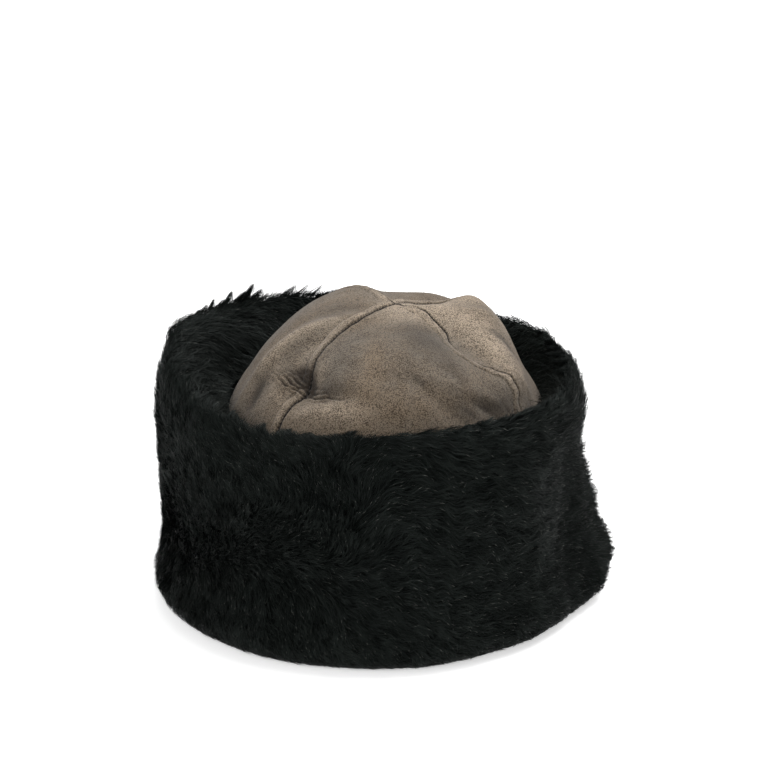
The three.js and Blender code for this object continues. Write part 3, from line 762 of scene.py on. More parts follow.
class ShaderBoard:
    """A material's nodes, laid out by short calls."""

    def __init__(self, name: str) -> None:
        """Starts a material with a Principled shader on it."""
        self.material = bpy.data.materials.new(name)
        self.material.use_nodes = True
        self.tree = self.material.node_tree
        self.shader = self.tree.nodes["Principled BSDF"]

    def node(self, kind: str, **settings: object) -> bpy.types.Node:
        """Adds a node and sets its named properties."""
        made = self.tree.nodes.new(kind)
        for key, value in settings.items():
            setattr(made, key, value)
        return made

    def feed(self, source: Socket, target: Socket) -> None:
        """Links an output to an input."""
        self.tree.links.new(source, target)

    def object_place(self) -> Socket:
        """The surface's place on the piece."""
        return self.node("ShaderNodeTexCoord").outputs["Object"]

    def painted(self, name: str) -> Socket:
        """A number that the piece's vertices carry."""
        return self.node("ShaderNodeAttribute", attribute_name=name).outputs["Fac"]

    def effect(self, grain: Grain, place: Socket, **values: float) -> Socket:
        """Places a shared effect with its own values, and gives its output."""
        made = self.node("ShaderNodeGroup", node_tree=effect_group(grain))
        self.feed(place, made.inputs["Place"])
        for key, value in values.items():
            made.inputs[key].default_value = value
        return made.outputs[0]

    def blend(self, share: Socket, low: Sequence[float] | Socket,
              high: Sequence[float] | Socket) -> Socket:
        """Blends two colours by a share.

        Args:
            share: how much of high shows, from 0 to 1.
            low: a colour or a colour socket.
            high: a colour or a colour socket.

        Returns:
            The blended colour's socket.
        """
        made = self.node("ShaderNodeMix", data_type="RGBA")
        self.feed(share, made.inputs["Factor"])
        for end, key in ((low, "A"), (high, "B")):
            socket = [s for s in made.inputs if s.name == key and s.type == "RGBA"][0]
            if isinstance(end, bpy.types.NodeSocket):
                self.feed(end, socket)
            else:
                socket.default_value = (*end, 1.0)
        return [s for s in made.outputs if s.type == "RGBA"][0]

    def reach(self, value: Socket, start: float, end: float, low: float, high: float) -> Socket:
        """Maps a value's range from start to end onto low to high, clamped and eased."""
        made = self.node("ShaderNodeMapRange", interpolation_type="SMOOTHSTEP")
        self.feed(value, made.inputs["Value"])
        for key, number in (("From Min", start), ("From Max", end), ("To Min", low), ("To Max", high)):
            made.inputs[key].default_value = number
        return made.outputs["Result"]

    def product(self, first: Socket, second: Socket) -> Socket:
        """Multiplies two values."""
        made = self.node("ShaderNodeMath", operation="MULTIPLY")
        self.feed(first, made.inputs[0])
        self.feed(second, made.inputs[1])
        return made.outputs[0]

    def total(self, *parts: tuple[Socket, float]) -> Socket:
        """Adds values, each times its own weight."""
        sum_so_far = None
        for value, weight in parts:
            made = self.node("ShaderNodeMath", operation="MULTIPLY_ADD")
            self.feed(value, made.inputs[0])
            made.inputs[1].default_value = weight
            made.inputs[2].default_value = 0.0
            if sum_so_far is not None:
                self.feed(sum_so_far, made.inputs[2])
            sum_so_far = made.outputs[0]
        return sum_so_far

    def raise_surface(self, height: Socket, depth: float) -> None:
        """Feeds a height to the shader as a bump of a depth in metres."""
        made = self.node("ShaderNodeBump")
        made.inputs["Distance"].default_value = depth
        self.feed(height, made.inputs["Height"])
        self.feed(made.outputs["Normal"], self.shader.inputs["Normal"])


def effect_group(grain: Grain) -> bpy.types.NodeTree:
    """The node group of a shared effect, built the first time that it is asked for."""
    made = bpy.data.node_groups.get(grain.value)
    if made:
        return made
    made = bpy.data.node_groups.new(grain.value, "ShaderNodeTree")
    made.interface.new_socket("Place", in_out="INPUT", socket_type="NodeSocketVector")
    for name in ("Size", "Detail", "Low", "High"):
        made.interface.new_socket(name, in_out="INPUT", socket_type="NodeSocketFloat")
    made.interface.new_socket("Value", in_out="OUTPUT", socket_type="NodeSocketFloat")
    start = made.nodes.new("NodeGroupInput")
    end = made.nodes.new("NodeGroupOutput")
    per_metre = made.nodes.new("ShaderNodeMath")
    per_metre.operation = "DIVIDE"
    per_metre.inputs[0].default_value = 1.0
    made.links.new(start.outputs["Size"], per_metre.inputs[1])
    cloud = made.nodes.new("ShaderNodeTexNoise")
    cloud.inputs["Roughness"].default_value = 0.6 if grain is Grain.MOTTLE else 0.75
    made.links.new(start.outputs["Place"], cloud.inputs["Vector"])
    made.links.new(per_metre.outputs[0], cloud.inputs["Scale"])
    made.links.new(start.outputs["Detail"], cloud.inputs["Detail"])
    value = cloud.outputs["Fac"]
    if grain is Grain.NAP:
        pores = made.nodes.new("ShaderNodeTexVoronoi")
        made.links.new(start.outputs["Place"], pores.inputs["Vector"])
        made.links.new(per_metre.outputs[0], pores.inputs["Scale"])
        both = made.nodes.new("ShaderNodeMath")
        both.operation = "MULTIPLY"
        made.links.new(value, both.inputs[0])
        made.links.new(pores.outputs["Distance"], both.inputs[1])
        value = both.outputs[0]
    ramp = made.nodes.new("ShaderNodeMapRange")
    made.links.new(value, ramp.inputs["Value"])
    made.links.new(start.outputs["Low"], ramp.inputs["From Min"])
    made.links.new(start.outputs["High"], ramp.inputs["From Max"])
    made.links.new(ramp.outputs["Result"], end.inputs["Value"])
    return made


@dataclass(frozen=True)
class Suede:
    """Brushed grey-brown suede: mottled, finely flecked, puckered and dark where it is stitched, with
    painted light and shade.
    """

    pitch: float
    name: str = "suede"
    cool: tuple[float, float, float] = (0.161, 0.135, 0.106)
    warm: tuple[float, float, float] = (0.222, 0.167, 0.114)
    fleck: tuple[float, float, float] = (0.033, 0.025, 0.019)
    rubbed: tuple[float, float, float] = (0.500, 0.402, 0.300)
    dull_and_shade: tuple[float, float, float] = (0.036, 0.029, 0.023)
    groove: tuple[float, float, float] = (0.022, 0.016, 0.012)
    patch_size: float = 0.034
    cloud_size: float = 0.009
    brush_size: float = 0.0020
    fleck_size: float = 0.00062
    nap_size: float = 0.0007
    nap_depth: float = 0.00022
    stitch_dip: float = 0.00030
    rub_share: float = 0.72
    dull_share: float = 0.66
    fleck_share: float = 0.95
    shade_share: float = 0.8
    seam_share: float = 0.92
    line_share: float = 0.75
    line_width: float = 0.6
    hole_share: float = 0.75
    hole_width: float = 1.6
    specular: float = 0.18
    sheen: float = 0.12

    def material(self) -> Material:
        """Builds the material."""
        board = ShaderBoard(self.name)
        place = board.object_place()
        patches = board.effect(Grain.MOTTLE, place, Size=self.patch_size, Detail=3, Low=0.38, High=0.62)
        clouds = board.effect(Grain.MOTTLE, place, Size=self.cloud_size, Detail=4, Low=0.35, High=0.65)
        brush = board.effect(Grain.MOTTLE, place, Size=self.brush_size, Detail=3, Low=0.34, High=0.66)
        flecks = board.effect(Grain.MOTTLE, place, Size=self.fleck_size, Detail=3, Low=0.42, High=0.60)
        warmth = board.total((board.painted("warmth"), 0.5), (patches, 0.36), (clouds, 0.28))
        colour = board.blend(board.reach(warmth, -0.1, 0.9, 0, 1), self.cool, self.warm)
        speckle = board.total((flecks, 0.64), (brush, 0.18), (clouds, 0.20))
        # Rubbed wear and painted highlights make the suede paler.
        rub_and_highlight = board.reach(board.painted("rub_and_highlight"), 0, 1, 0, self.rub_share)
        colour = board.blend(rub_and_highlight, colour, self.rubbed)
        # Painted shade, with the suede's dull patches.
        dull_and_shade = board.reach(board.painted("dull_and_shade"), 0, 1, 0, self.dull_share)
        colour = board.blend(dull_and_shade, colour, self.dull_and_shade)
        colour = board.blend(board.reach(speckle, 0.12, 1, 0, self.fleck_share), colour, self.fleck)
        stitched = self.stitched(board)
        colour = board.blend(board.reach(stitched, 0, 1, 0, self.seam_share), colour, self.groove)
        # Painted shade in the creases and the wrinkles' hollows, in the groove's dark colour.
        shade = board.reach(board.painted("shade"), 0, 1, 0, self.shade_share)
        colour = board.blend(shade, colour, self.groove)
        board.feed(colour, board.shader.inputs["Base Color"])
        board.feed(board.reach(clouds, 0, 1, 0.84, 0.97), board.shader.inputs["Roughness"])
        nap = board.effect(Grain.NAP, place, Size=self.nap_size, Detail=3, Low=0.0, High=0.5)
        dip = self.stitch_dip / self.nap_depth
        height = board.total(
            (nap, 0.5), (flecks, -0.45), (brush, -0.5), (clouds, 0.35), (stitched, -dip)
        )
        board.raise_surface(height, self.nap_depth)
        board.shader.inputs["Specular IOR Level"].default_value = self.specular
        board.shader.inputs["Sheen Weight"].default_value = self.sheen
        board.shader.inputs["Sheen Roughness"].default_value = 0.5
        return board.material

    def stitched(self, board: ShaderBoard) -> Socket:
        """The dark of a stitched seam: a fine line that swells at each needle hole."""
        turns = board.total((board.painted("along"), TURN / self.pitch))
        wave = board.node("ShaderNodeMath", operation="COSINE")
        board.feed(turns, wave.inputs[0])
        holes = board.reach(wave.outputs[0], -1, 1, 1, 0)
        away = board.painted("away")
        line = board.reach(away, 0.1, self.line_width, self.line_share, 0)
        beside = board.reach(away, 0.2, self.hole_width, 1, 0)
        return board.total((line, 1.0), (board.product(holes, beside), self.hole_share))


@dataclass(frozen=True)
class Pile:
    """The clipped wool side of the hide: dark, matt and finely curled."""

    name: str = "clipped_pile"
    low: tuple[float, float, float] = (0.010, 0.009, 0.008)
    high: tuple[float, float, float] = (0.045, 0.039, 0.033)
    curl_size: float = 0.0035
    curl_depth: float = 0.0012

    def material(self) -> Material:
        """Builds the material."""
        board = ShaderBoard(self.name)
        place = board.object_place()
        curls = board.effect(Grain.NAP, place, Size=self.curl_size, Detail=4, Low=0.02, High=0.42)
        board.feed(board.blend(curls, self.low, self.high), board.shader.inputs["Base Color"])
        board.raise_surface(curls, self.curl_depth)
        board.shader.inputs["Roughness"].default_value = 0.95
        board.shader.inputs["Specular IOR Level"].default_value = 0.1
        return board.material


@dataclass(frozen=True)
class UnderFur:
    """The dense wool below the long hairs: near black, matted and matt."""

    name: str = "under_fur"
    low: tuple[float, float, float] = (0.0024, 0.0032, 0.0028)
    high: tuple[float, float, float] = (0.0062, 0.0078, 0.0071)
    mat_size: float = 0.0022
    mat_depth: float = 0.0012

    def material(self) -> Material:
        """Builds the material."""
        board = ShaderBoard(self.name)
        place = board.object_place()
        mats = board.effect(Grain.MOTTLE, place, Size=self.mat_size, Detail=5, Low=0.35, High=0.7)
        board.feed(board.blend(mats, self.low, self.high), board.shader.inputs["Base Color"])
        board.raise_surface(mats, self.mat_depth)
        board.shader.inputs["Roughness"].default_value = 0.95
        board.shader.inputs["Specular IOR Level"].default_value = 0.05
        return board.material


@dataclass(frozen=True)
class Hair:
    """Long fur hairs: darkest at the root, softly glossy, and a few with a painted glint near the tip.
    """

    name: str = "long_fur"
    root: tuple[float, float, float] = (0.0018, 0.0024, 0.0021)
    dark_tip: tuple[float, float, float] = (0.0016, 0.0025, 0.0021)
    pale_tip: tuple[float, float, float] = (0.0168, 0.0204, 0.0185)
    glint: tuple[float, float, float] = (0.170, 0.172, 0.158)
    gloss_tint: tuple[float, float, float] = (0.88, 1.0, 0.95)
    roughness: float = 0.46
    specular: float = 0.065
    root_end: float = 0.75
    glint_start: float = 0.76
    glint_full: float = 0.88

    def material(self) -> Material:
        """Builds the material; the map named OFBake carries tone across and root to tip up."""
        board = ShaderBoard(self.name)
        parts = board.node("ShaderNodeSeparateXYZ")
        board.feed(board.node("ShaderNodeUVMap", uv_map="OFBake").outputs["UV"], parts.inputs[0])
        tip = board.blend(parts.outputs["X"], self.dark_tip, self.pale_tip)
        colour = board.blend(board.reach(parts.outputs["Y"], 0.05, self.root_end, 0, 1), self.root, tip)
        # A painted glint: a bright tick in the base colour near the tips of a few hairs.
        painted_glints = board.reach(parts.outputs["X"], 0.92, 0.97, 0, 1)
        near_tip = board.reach(parts.outputs["Y"], self.glint_start, self.glint_full, 0, 1)
        colour = board.blend(board.product(painted_glints, near_tip), colour, self.glint)
        board.feed(colour, board.shader.inputs["Base Color"])
        board.shader.inputs["Specular Tint"].default_value = (*self.gloss_tint, 1)
        board.shader.inputs["Roughness"].default_value = self.roughness
        board.shader.inputs["Specular IOR Level"].default_value = self.specular
        return board.material


@dataclass(frozen=True)
class Thread:
    """Waxed dark brown sewing thread with a fine twist."""

    name: str = "thread"
    low: tuple[float, float, float] = (0.012, 0.009, 0.007)
    high: tuple[float, float, float] = (0.050, 0.038, 0.029)
    twist_size: float = 0.0006
    twist_depth: float = 0.00015

    def material(self) -> Material:
        """Builds the material."""
        board = ShaderBoard(self.name)
        place = board.object_place()
        twist = board.effect(Grain.MOTTLE, place, Size=self.twist_size, Detail=2, Low=0.3, High=0.7)
        board.feed(board.blend(twist, self.low, self.high), board.shader.inputs["Base Color"])
        board.raise_surface(twist, self.twist_depth)
        board.shader.inputs["Roughness"].default_value = 0.7
        return board.material


@dataclass(frozen=True)
class Paper:
    """The studio's white paper floor, with a faint tooth."""

    name: str = "white_paper"
    low: tuple[float, float, float] = (0.93, 0.93, 0.93)
    high: tuple[float, float, float] = (0.95, 0.95, 0.95)
    tooth_size: float = 0.002
    glow: float = 0.25

    def material(self) -> Material:
        """Builds the material."""
        board = ShaderBoard(self.name)
        place = board.object_place()
        tooth = board.effect(Grain.MOTTLE, place, Size=self.tooth_size, Detail=3, Low=0.3, High=0.7)
        board.feed(board.blend(tooth, self.low, self.high), board.shader.inputs["Base Color"])
        board.shader.inputs["Roughness"].default_value = 0.9
        board.shader.inputs["Specular IOR Level"].default_value = 0.1
        board.shader.inputs["Emission Color"].default_value = (1, 1, 1, 1)
        board.shader.inputs["Emission Strength"].default_value = self.glow
        return board.material


@dataclass
class Crown:
    """The crown: four suede panels drawn over a soft domed form and sewn to each other."""

    band_half_width: float = 93
    band_half_depth: float = 96
    hem_z: float = 5
    spring_z: float = 96
    side_z: float = 135
    crest_reach: float = 36
    apex_z: float = 173
    apex_lean: float = 5.5
    apex_hole_level: float = 1.997
    apex_flat_radius: float = 16
    wall: float = 3
    panel_gap: float = 0.3
    groove_depth: float = 0.8
    groove_width: float = 0.6
    pucker_rise: float = 0.22
    pucker_reach: float = 1.6
    pucker_pace: float = 0.62
    slow_pucker_pace: float = 0.23
    allowance_start: float = 1.5
    allowance_width: float = 4.6
    allowance_slope: float = 1.3
    allowance_rise: float = 0.8
    allowance_mark: float = 0.2
    bare_side_rise: float = 0.12
    bare_side_reach: float = 1.9
    seam_fade_radius: float = 9
    seam_fade_levels: float = 0.12
    hem_rows: int = 8
    rows: int = 118
    pinch_level: float = 1.31
    pinch_levels: float = 0.08
    pinch_density: float = 3.0
    pinch_bearing: float = -39.5
    left_wrinkle_slope: float = 0.13
    right_wrinkle_slope: float = -0.04
    wrinkle_width: float = 0.75
    wrinkle_crest: float = 0.75
    wrinkle_fade: float = 0.4
    wander: Ripple = Ripple(height=0.5, pace=0.33, shift=1.7)
    tremble: Ripple = Ripple(height=0.22, pace=0.95, shift=2.9)
    swell: Ripple = Ripple(height=0.22, pace=0.6, shift=2.3)
    broad_relief: float = 0.35
    broad_size: float = 17
    small_relief: float = 0.12
    small_size: float = 6
    shade_by_depth: float = 1.05
    rub_by_relief: float = 0.42
    rub_by_fold: float = 0.35
    curl_rise: float = 0.5
    curl_size: float = 4.5
    small_curl_size: float = 2.2
    stitch_pitch: float = 2.4
    first_stitch: float = 0.6
    stitch_length: float = 1.75
    stitch_flat_share: float = 0.6
    stitch_sink: float = 0.22
    stitch_end_taper: float = 0.45
    stitch_slants: tuple[float, float] = (-0.10, 0.16)
    thread_radius: float = 0.30
    thread_depth: float = 0.25
    apex_stitch_pairs: int = 4
    apex_stitch_gap: float = 1.6
    apex_stitch_slant: float = 0.9
    apex_stitch_lift: float = 0.35

    def band_radius(self, bearing: Array) -> Array:
        """The radius of the head opening's oval, outside the wall."""
        across = np.sin(bearing * DEGREE) / self.band_half_width
        along = np.cos(bearing * DEGREE) / self.band_half_depth
        return 1 / np.hypot(across, along)

    def section(self, bearing: Array, level: Array) -> tuple[Array, Array]:
        """The crown's radius and height before its folds."""
        bearing, level = np.broadcast_arrays(np.asarray(bearing, float), np.asarray(level, float))
        band = self.band_radius(bearing)
        side, shoulder, shoulder_z, crest_z = (
            read_around(CROWN_SECTIONS, column, bearing)
            for column in ("side", "shoulder", "shoulder_z", "crest_z")
        )
        radii = [band, band, side, shoulder, self.crest_reach, 0]
        heights = [self.hem_z, self.spring_z, self.side_z, shoulder_z, crest_z, self.apex_z]
        place = 1 + (np.maximum(level, 1) - 1) * (len(radii) - 2)
        radius = np.where(level <= 1, band, smooth_through(radii, place))
        low_z = mix(self.hem_z, self.spring_z, level)
        return radius, np.where(level <= 1, low_z, smooth_through(heights, place))

    def plain(self, bearing: Array, level: Array) -> Array:
        """Points of the crown before its folds."""
        radius, z = self.section(bearing, level)
        risen = np.clip((z - self.spring_z) / (self.apex_z - self.spring_z), 0, 1)
        return around_axis(radius, bearing, z, lean=self.apex_lean * risen**1.5)

    def outward(self, surface: Callable[[Array, Array], Array], bearing: Array, level: Array) -> Array:
        """The outward direction of a surface, turned upright at the apex.

        Args:
            surface: gives points from bearings and levels.
            bearing: bearings in degrees.
            level: levels of the crown.

        Returns:
            A unit vector for each point.
        """
        turn_step = 0.5
        level_step = 0.01
        top = np.minimum(level + level_step, 1.999)
        around = surface(bearing + turn_step, level) - surface(bearing - turn_step, level)
        up = surface(bearing, top) - surface(bearing, top - 2 * level_step)
        normal = unit(np.cross(around, up))
        radius, _ = self.section(bearing, level)
        upright = (1 - ease(np.minimum(1, radius / self.apex_flat_radius)))[..., None]
        return unit(mix(normal, np.array([0.0, 0.0, 1.0]), upright))

    def unrolled(self, bearing: Array, level: Array) -> tuple[Array, Array]:
        """The crown's map: each point's place seen from the apex, opened flat."""
        radius, z = self.section(bearing, level)
        reach = np.hypot(radius, self.apex_z - z)
        return reach * np.sin(bearing * DEGREE), reach * np.cos(bearing * DEGREE)

    def fold_rise(self, folds: Sequence[Fold], bearing: Array, level: Array) -> Array:
        """How far folds push the crown out."""
        x, y = self.unrolled(bearing, level)
        rise = np.zeros_like(x)
        for fold in folds:
            dx = x - fold.reach * math.sin(fold.bearing * DEGREE)
            dy = y - fold.reach * math.cos(fold.bearing * DEGREE)
            heading = (fold.bearing + fold.heading) * DEGREE
            lengthwise = (dx * math.sin(heading) + dy * math.cos(heading)) / fold.length
            crosswise = (dx * math.cos(heading) - dy * math.sin(heading)) / fold.width
            rise += fold.rise * np.exp(-(lengthwise**2) - crosswise**2)
        return rise

    def wrinkle_rise(self, bearing: Array, level: Array) -> Array:
        """How far the fine wrinkles that start at the pinched stitch push the crown out."""
        radius, z = self.section(bearing, level)
        reach = np.hypot(radius, self.apex_z - z)
        rise = np.zeros_like(reach)
        for number, wrinkle in enumerate(WRINKLES):
            away = wrinkle.side * half_turn(bearing - self.pinch_bearing) * DEGREE * wrinkle.reach
            slope = self.left_wrinkle_slope if wrinkle.side < 0 else self.right_wrinkle_slope
            wander = self.wander.at(away, number) + self.tremble.at(away, number)
            down = reach - wrinkle.reach + slope * away - wander
            fading = 1 - fade(self.wrinkle_fade * wrinkle.end, wrinkle.end, away)
            swell = 1 - self.swell.height + self.swell.at(away, number)
            valley = bump(down, 0, self.wrinkle_width)
            crest = bump(down, 1.5 * self.wrinkle_width, self.wrinkle_width)
            amount = wrinkle.rise * fade(0, wrinkle.start, away) * fading * swell
            rise += amount * (self.wrinkle_crest * crest - valley)
        return rise

    def folded(self, bearing: Array, level: Array) -> Array:
        """Points of the crown with its main folds, as the solid model has it."""
        outward = self.outward(self.plain, bearing, level)
        rise = self.fold_rise(CROWN_FOLDS, bearing, level)
        return self.plain(bearing, level) + outward * rise[..., None]

    def row_levels(self) -> Array:
        """The levels of a panel's rows: sparse down the hidden wall, dense at the pinch."""
        fine = np.linspace(1, self.apex_hole_level, 2000)
        density = 1 + self.pinch_density * bump(fine, self.pinch_level, self.pinch_levels)
        passed = np.concatenate([[0], np.cumsum((density[1:] + density[:-1]) / 2)])
        wanted = np.linspace(0, passed[-1], self.rows)
        hidden = np.linspace(0, 1, self.hem_rows, endpoint=False)
        return np.concatenate([hidden, np.interp(wanted, passed, fine)])

    def column_distances(self, width: Array, columns: int) -> Array:
        """Distances of a panel's columns from its first seam, close together at both seams.

        Args:
            width: the panel's width in each row.
            columns: how many columns the panel has.

        Returns:
            One row of distances for each width.
        """
        near = np.array([0.0, 0.35, 0.7, 1.1, 1.6, 2.3, 3.2, 4.2, 5.0, 5.6, 6.1, 6.7, 7.5, 8.6])
        share = np.linspace(0, 1, columns - 2 * len(near) + 2)[1:-1]
        share = share - 0.1 * np.sin(TURN * share)
        width = width[:, None]
        scale = np.minimum(1, width / (3 * near[-1]))
        first = self.panel_gap / 2 + near * scale
        edge = first[:, -1:]
        return np.hstack([first, mix(edge, width - edge, share), width - first[:, ::-1]])

    def seam_relief(self, distance: Array, has_allowance: bool, along: Array) -> Array:
        """The relief beside a seam: its stitched groove, puckers, and the allowance's band.

        Args:
            distance: how far each point is from the seam.
            has_allowance: whether the folded allowance lies on this side.
            along: how far along the seam each point is.

        Returns:
            How far each point is pushed out.
        """
        relief = -self.groove_depth * bump(distance, 0, self.groove_width)
        pucker = np.cos(along * self.pucker_pace) + 0.6 * np.cos(along * self.slow_pucker_pace + 1)
        relief += self.pucker_rise * pucker * bump(distance, self.pucker_reach, self.pucker_reach)
        if has_allowance:
            band_end = self.allowance_width + self.allowance_slope
            rising = fade(self.groove_width / 2, self.allowance_start, distance)
            falling = 1 - fade(self.allowance_width, band_end, distance)
            relief += self.allowance_rise * rising * falling
            relief -= self.allowance_mark * bump(distance, band_end, self.groove_width)
        else:
            relief += self.bare_side_rise * bump(distance, self.bare_side_reach, self.allowance_slope)
        return relief

    def panel_grid(self, cut: PanelCut, levels: Array) -> tuple[Array, Array, Array]:
        """Spreads a panel's grid between its two seams.

        Args:
            cut: the panel's seams and division.
            levels: the levels of its rows.

        Returns:
            The grid's bearings, and its distances from the first seam and from the last.
        """
        start = SEAM_NAMED[cut.start].bearing_at(levels)
        end = SEAM_NAMED[cut.end].bearing_at(levels) + 360 * cut.turns
        radius, _ = self.section((start + end) / 2, levels)
        width = (end - start) * DEGREE * radius
        distance = self.column_distances(width, cut.columns)
        bearing = start[:, None] + distance / radius[:, None] / DEGREE
        return bearing, distance, width[:, None] - distance

    def lengths_along(self, base: Array) -> Array:
        """How far up each column of a panel's grid its points are, from the spring line."""
        step = np.linalg.norm(np.diff(base, axis=0), axis=-1)
        along = np.vstack([np.zeros((1, step.shape[1])), np.cumsum(step, axis=0)])
        return along - along[self.hem_rows]

    def panel(self, cut: PanelCut, finishes: Sequence[Material]) -> Object:
        """Cuts a panel, draws it over the crown's form, and gives it its thickness.

        Args:
            cut: the panel's seams and division.
            finishes: the materials of its outside and its inside.

        Returns:
            The finished panel.
        """
        levels = self.row_levels()
        piece, column, row = flat_cut(cut.name + "_suede", cut.columns, len(levels))
        bearing, from_start, from_end = self.panel_grid(cut, levels)
        level = np.broadcast_to(levels[:, None], bearing.shape)
        base = self.folded(bearing, level)
        outward = self.outward(self.folded, bearing, level)
        along = self.lengths_along(base)
        folded_here = SEAM_NAMED[cut.start].allowance_side == 1
        relief = self.seam_relief(from_start, folded_here, along[:, :1])
        folded_here = SEAM_NAMED[cut.end].allowance_side == -1
        relief += self.seam_relief(from_end, folded_here, along[:, -1:])
        radius, _ = self.section(bearing, level)
        fades = np.minimum(1, radius / self.seam_fade_radius)
        fades = fades * np.clip((level - 1) / self.seam_fade_levels, 0, 1)
        fine = self.fold_rise(FINE_FOLDS, bearing, level) + self.wrinkle_rise(bearing, level)
        soft = self.broad_relief * rough_noise(base, self.broad_size, seed=3.1)
        soft += self.small_relief * rough_noise(base, self.small_size, seed=7.7)
        surface = base + outward * ((relief + soft) * fades + fine)[..., None]
        move_vertices(piece, to_frame(surface)[row, column])
        at_start = from_start < from_end
        paints = self.wear(bearing, level, relief * fades, fine)
        paints["away"] = np.where(level < 1, FAR_FROM_SEAM, np.minimum(from_start, from_end))
        paints["away"] = np.minimum(paints["away"], FAR_FROM_SEAM)
        paints["along"] = np.where(at_start, along[:, :1], along[:, -1:]) - self.first_stitch
        for name, values in paints.items():
            paint_vertices(piece, name, values[row, column])
        self.thicken(piece, finishes)
        return piece

    def thicken(self, piece: Object, finishes: Sequence[Material]) -> None:
        """Gives a panel its wall, with the first finish outside and the second inside."""
        for finish in finishes:
            piece.data.materials.append(finish)
        wall = piece.modifiers.new("wall", "SOLIDIFY")
        wall.thickness = self.wall * MM
        wall.offset = -1
        wall.material_offset = 1
        outer_count = len(piece.data.vertices)
        apply_modifiers(piece)
        self.curl_inside(piece, outer_count)
        smooth_shaded(piece)

    def wear(self, bearing: Array, level: Array, relief: Array, fine: Array) -> dict[str, Array]:
        """The suede's painted shade, its dull patches with painted shade, its rubbed wear with painted
        highlights, and its warmth.

        Args:
            bearing: bearings of the panel's points.
            level: their levels.
            relief: the seams' relief there.
            fine: the fine folds' rise there.

        Returns:
            The amounts at each point by name, from 0 to 1, or from -1 to 1 for the warmth.
        """
        rubbed = self.fold_rise(RUBBED_AND_LIT_PATCHES, bearing, level)
        rub_and_highlight = np.clip(relief, 0, 1) * self.rub_by_relief + np.clip(fine, 0, 1) * self.rub_by_fold
        # The first three darken or lighten the colour: painted shade in the fine folds' hollows,
        # painted shade with dull patches, and rubbed wear with painted highlights.
        return {
            "shade": np.clip(-fine * self.shade_by_depth, 0, 1),
            "dull_and_shade": np.clip(self.fold_rise(DULL_AND_SHADED_PATCHES, bearing, level), 0, 1),
            "rub_and_highlight": np.clip(rub_and_highlight + rubbed, 0, 1),
            "warmth": np.clip(self.fold_rise(WARM_PATCHES, bearing, level), -1, 1),
        }

    def curl_inside(self, piece: Object, outer_count: int) -> None:
        """Gives the wool side of a panel its low curls."""
        places = vertex_places(piece)
        inside = places[outer_count:]
        towards = unit(np.array([0.0, 0.0, 0.1]) - inside)
        curls = rough_noise(inside / MM, self.curl_size, seed=11.0)
        curls += 0.5 * rough_noise(inside / MM, self.small_curl_size, seed=5.0)
        places[outer_count:] = inside + towards * (self.curl_rise * MM * curls)[:, None]
        move_vertices(piece, places)

    def stitch(self) -> Object:
        """One stitch, modelled lying along X: a short length of thread with sunk ends."""
        length = self.stitch_length * MM
        sink = self.stitch_sink * MM
        flat = length * self.stitch_flat_share
        clear_selection()
        bpy.ops.mesh.primitive_cylinder_add(
            vertices=6, radius=self.thread_radius * MM, depth=flat, end_fill_type="NGON",
            rotation=(0, math.pi / 2, 0),
        )
        piece = bpy.context.active_object
        bpy.ops.object.transform_apply(location=True, rotation=True, scale=True)
        for side in (-1, 1):
            select_vertices(piece, vertex_places(piece)[:, 0] * side > 0.48 * flat)
            reach = (side * (length - flat) / 2, 0, -sink)
            bpy.ops.mesh.extrude_region_move(TRANSFORM_OT_translate={"value": reach})
            end = (side * length / 2, 0, -sink)
            taper = (1, self.stitch_end_taper, self.stitch_end_taper)
            bpy.ops.transform.resize(value=taper, center_override=end)
            bpy.ops.object.mode_set(mode="OBJECT")
        return piece

    def seam_places(self, seam: Seam) -> tuple[Array, Array]:
        """Evenly spaced places along a seam from the spring line up, and the outward directions."""
        levels = np.linspace(1.0, self.apex_hole_level, 1500)
        bearing = seam.bearing_at(levels)
        line = self.folded(bearing, levels)
        outward = self.outward(self.folded, bearing, levels)
        rise = self.fold_rise(FINE_FOLDS, bearing, levels)
        line = line + outward * rise[:, None]
        passed = np.concatenate([[0], np.cumsum(np.linalg.norm(np.diff(line, axis=0), axis=1))])
        wanted = np.arange(self.first_stitch, passed[-1] - 1.0, self.stitch_pitch)
        spaced = np.stack([np.interp(wanted, passed, line[:, i]) for i in range(3)], axis=1)
        facing = np.stack([np.interp(wanted, passed, outward[:, i]) for i in range(3)], axis=1)
        return spaced, unit(facing)

    def stitch_row(self, name: str, places: Array, ahead: Array, facing: Array,
                   finish: Material) -> Object:
        """Copies of the one stitch, laid in a row and joined into one piece.

        Args:
            name: the row's name.
            places: where the stitches lie.
            ahead: which way each one runs.
            facing: the outward direction at each.
            finish: the thread's material.

        Returns:
            The finished row.
        """
        pattern = self.stitch()
        copies = []
        for number, (place, forward, up) in enumerate(zip(places, ahead, facing)):
            slant = self.stitch_slants[number % 2]
            forward = unit(forward + slant * np.cross(up, forward))
            sideways = unit(np.cross(up, forward))
            up = np.cross(forward, sideways)
            sunk = to_frame(place - up * self.thread_depth)
            turn = Matrix((forward, sideways, up)).transposed().to_4x4()
            one = pattern.copy()
            one.data = pattern.data.copy()
            one.data.transform(Matrix.Translation(Vector(sunk)) @ turn)
            bpy.context.collection.objects.link(one)
            copies.append(one)
        bpy.data.objects.remove(pattern)
        clear_selection()
        for one in copies:
            one.select_set(True)
        bpy.context.view_layer.objects.active = copies[0]
        bpy.ops.object.join()
        piece = bpy.context.active_object
        piece.name = name
        piece.data.materials.append(finish)
        smooth_shaded(piece)
        return piece

    def seam_stitches(self, seam: Seam, finish: Material) -> Object:
        """A seam's row of stitches."""
        places, facing = self.seam_places(seam)
        ahead = unit(np.gradient(places, axis=0))
        return self.stitch_row("stitches_" + seam.name, places, ahead, facing, finish)

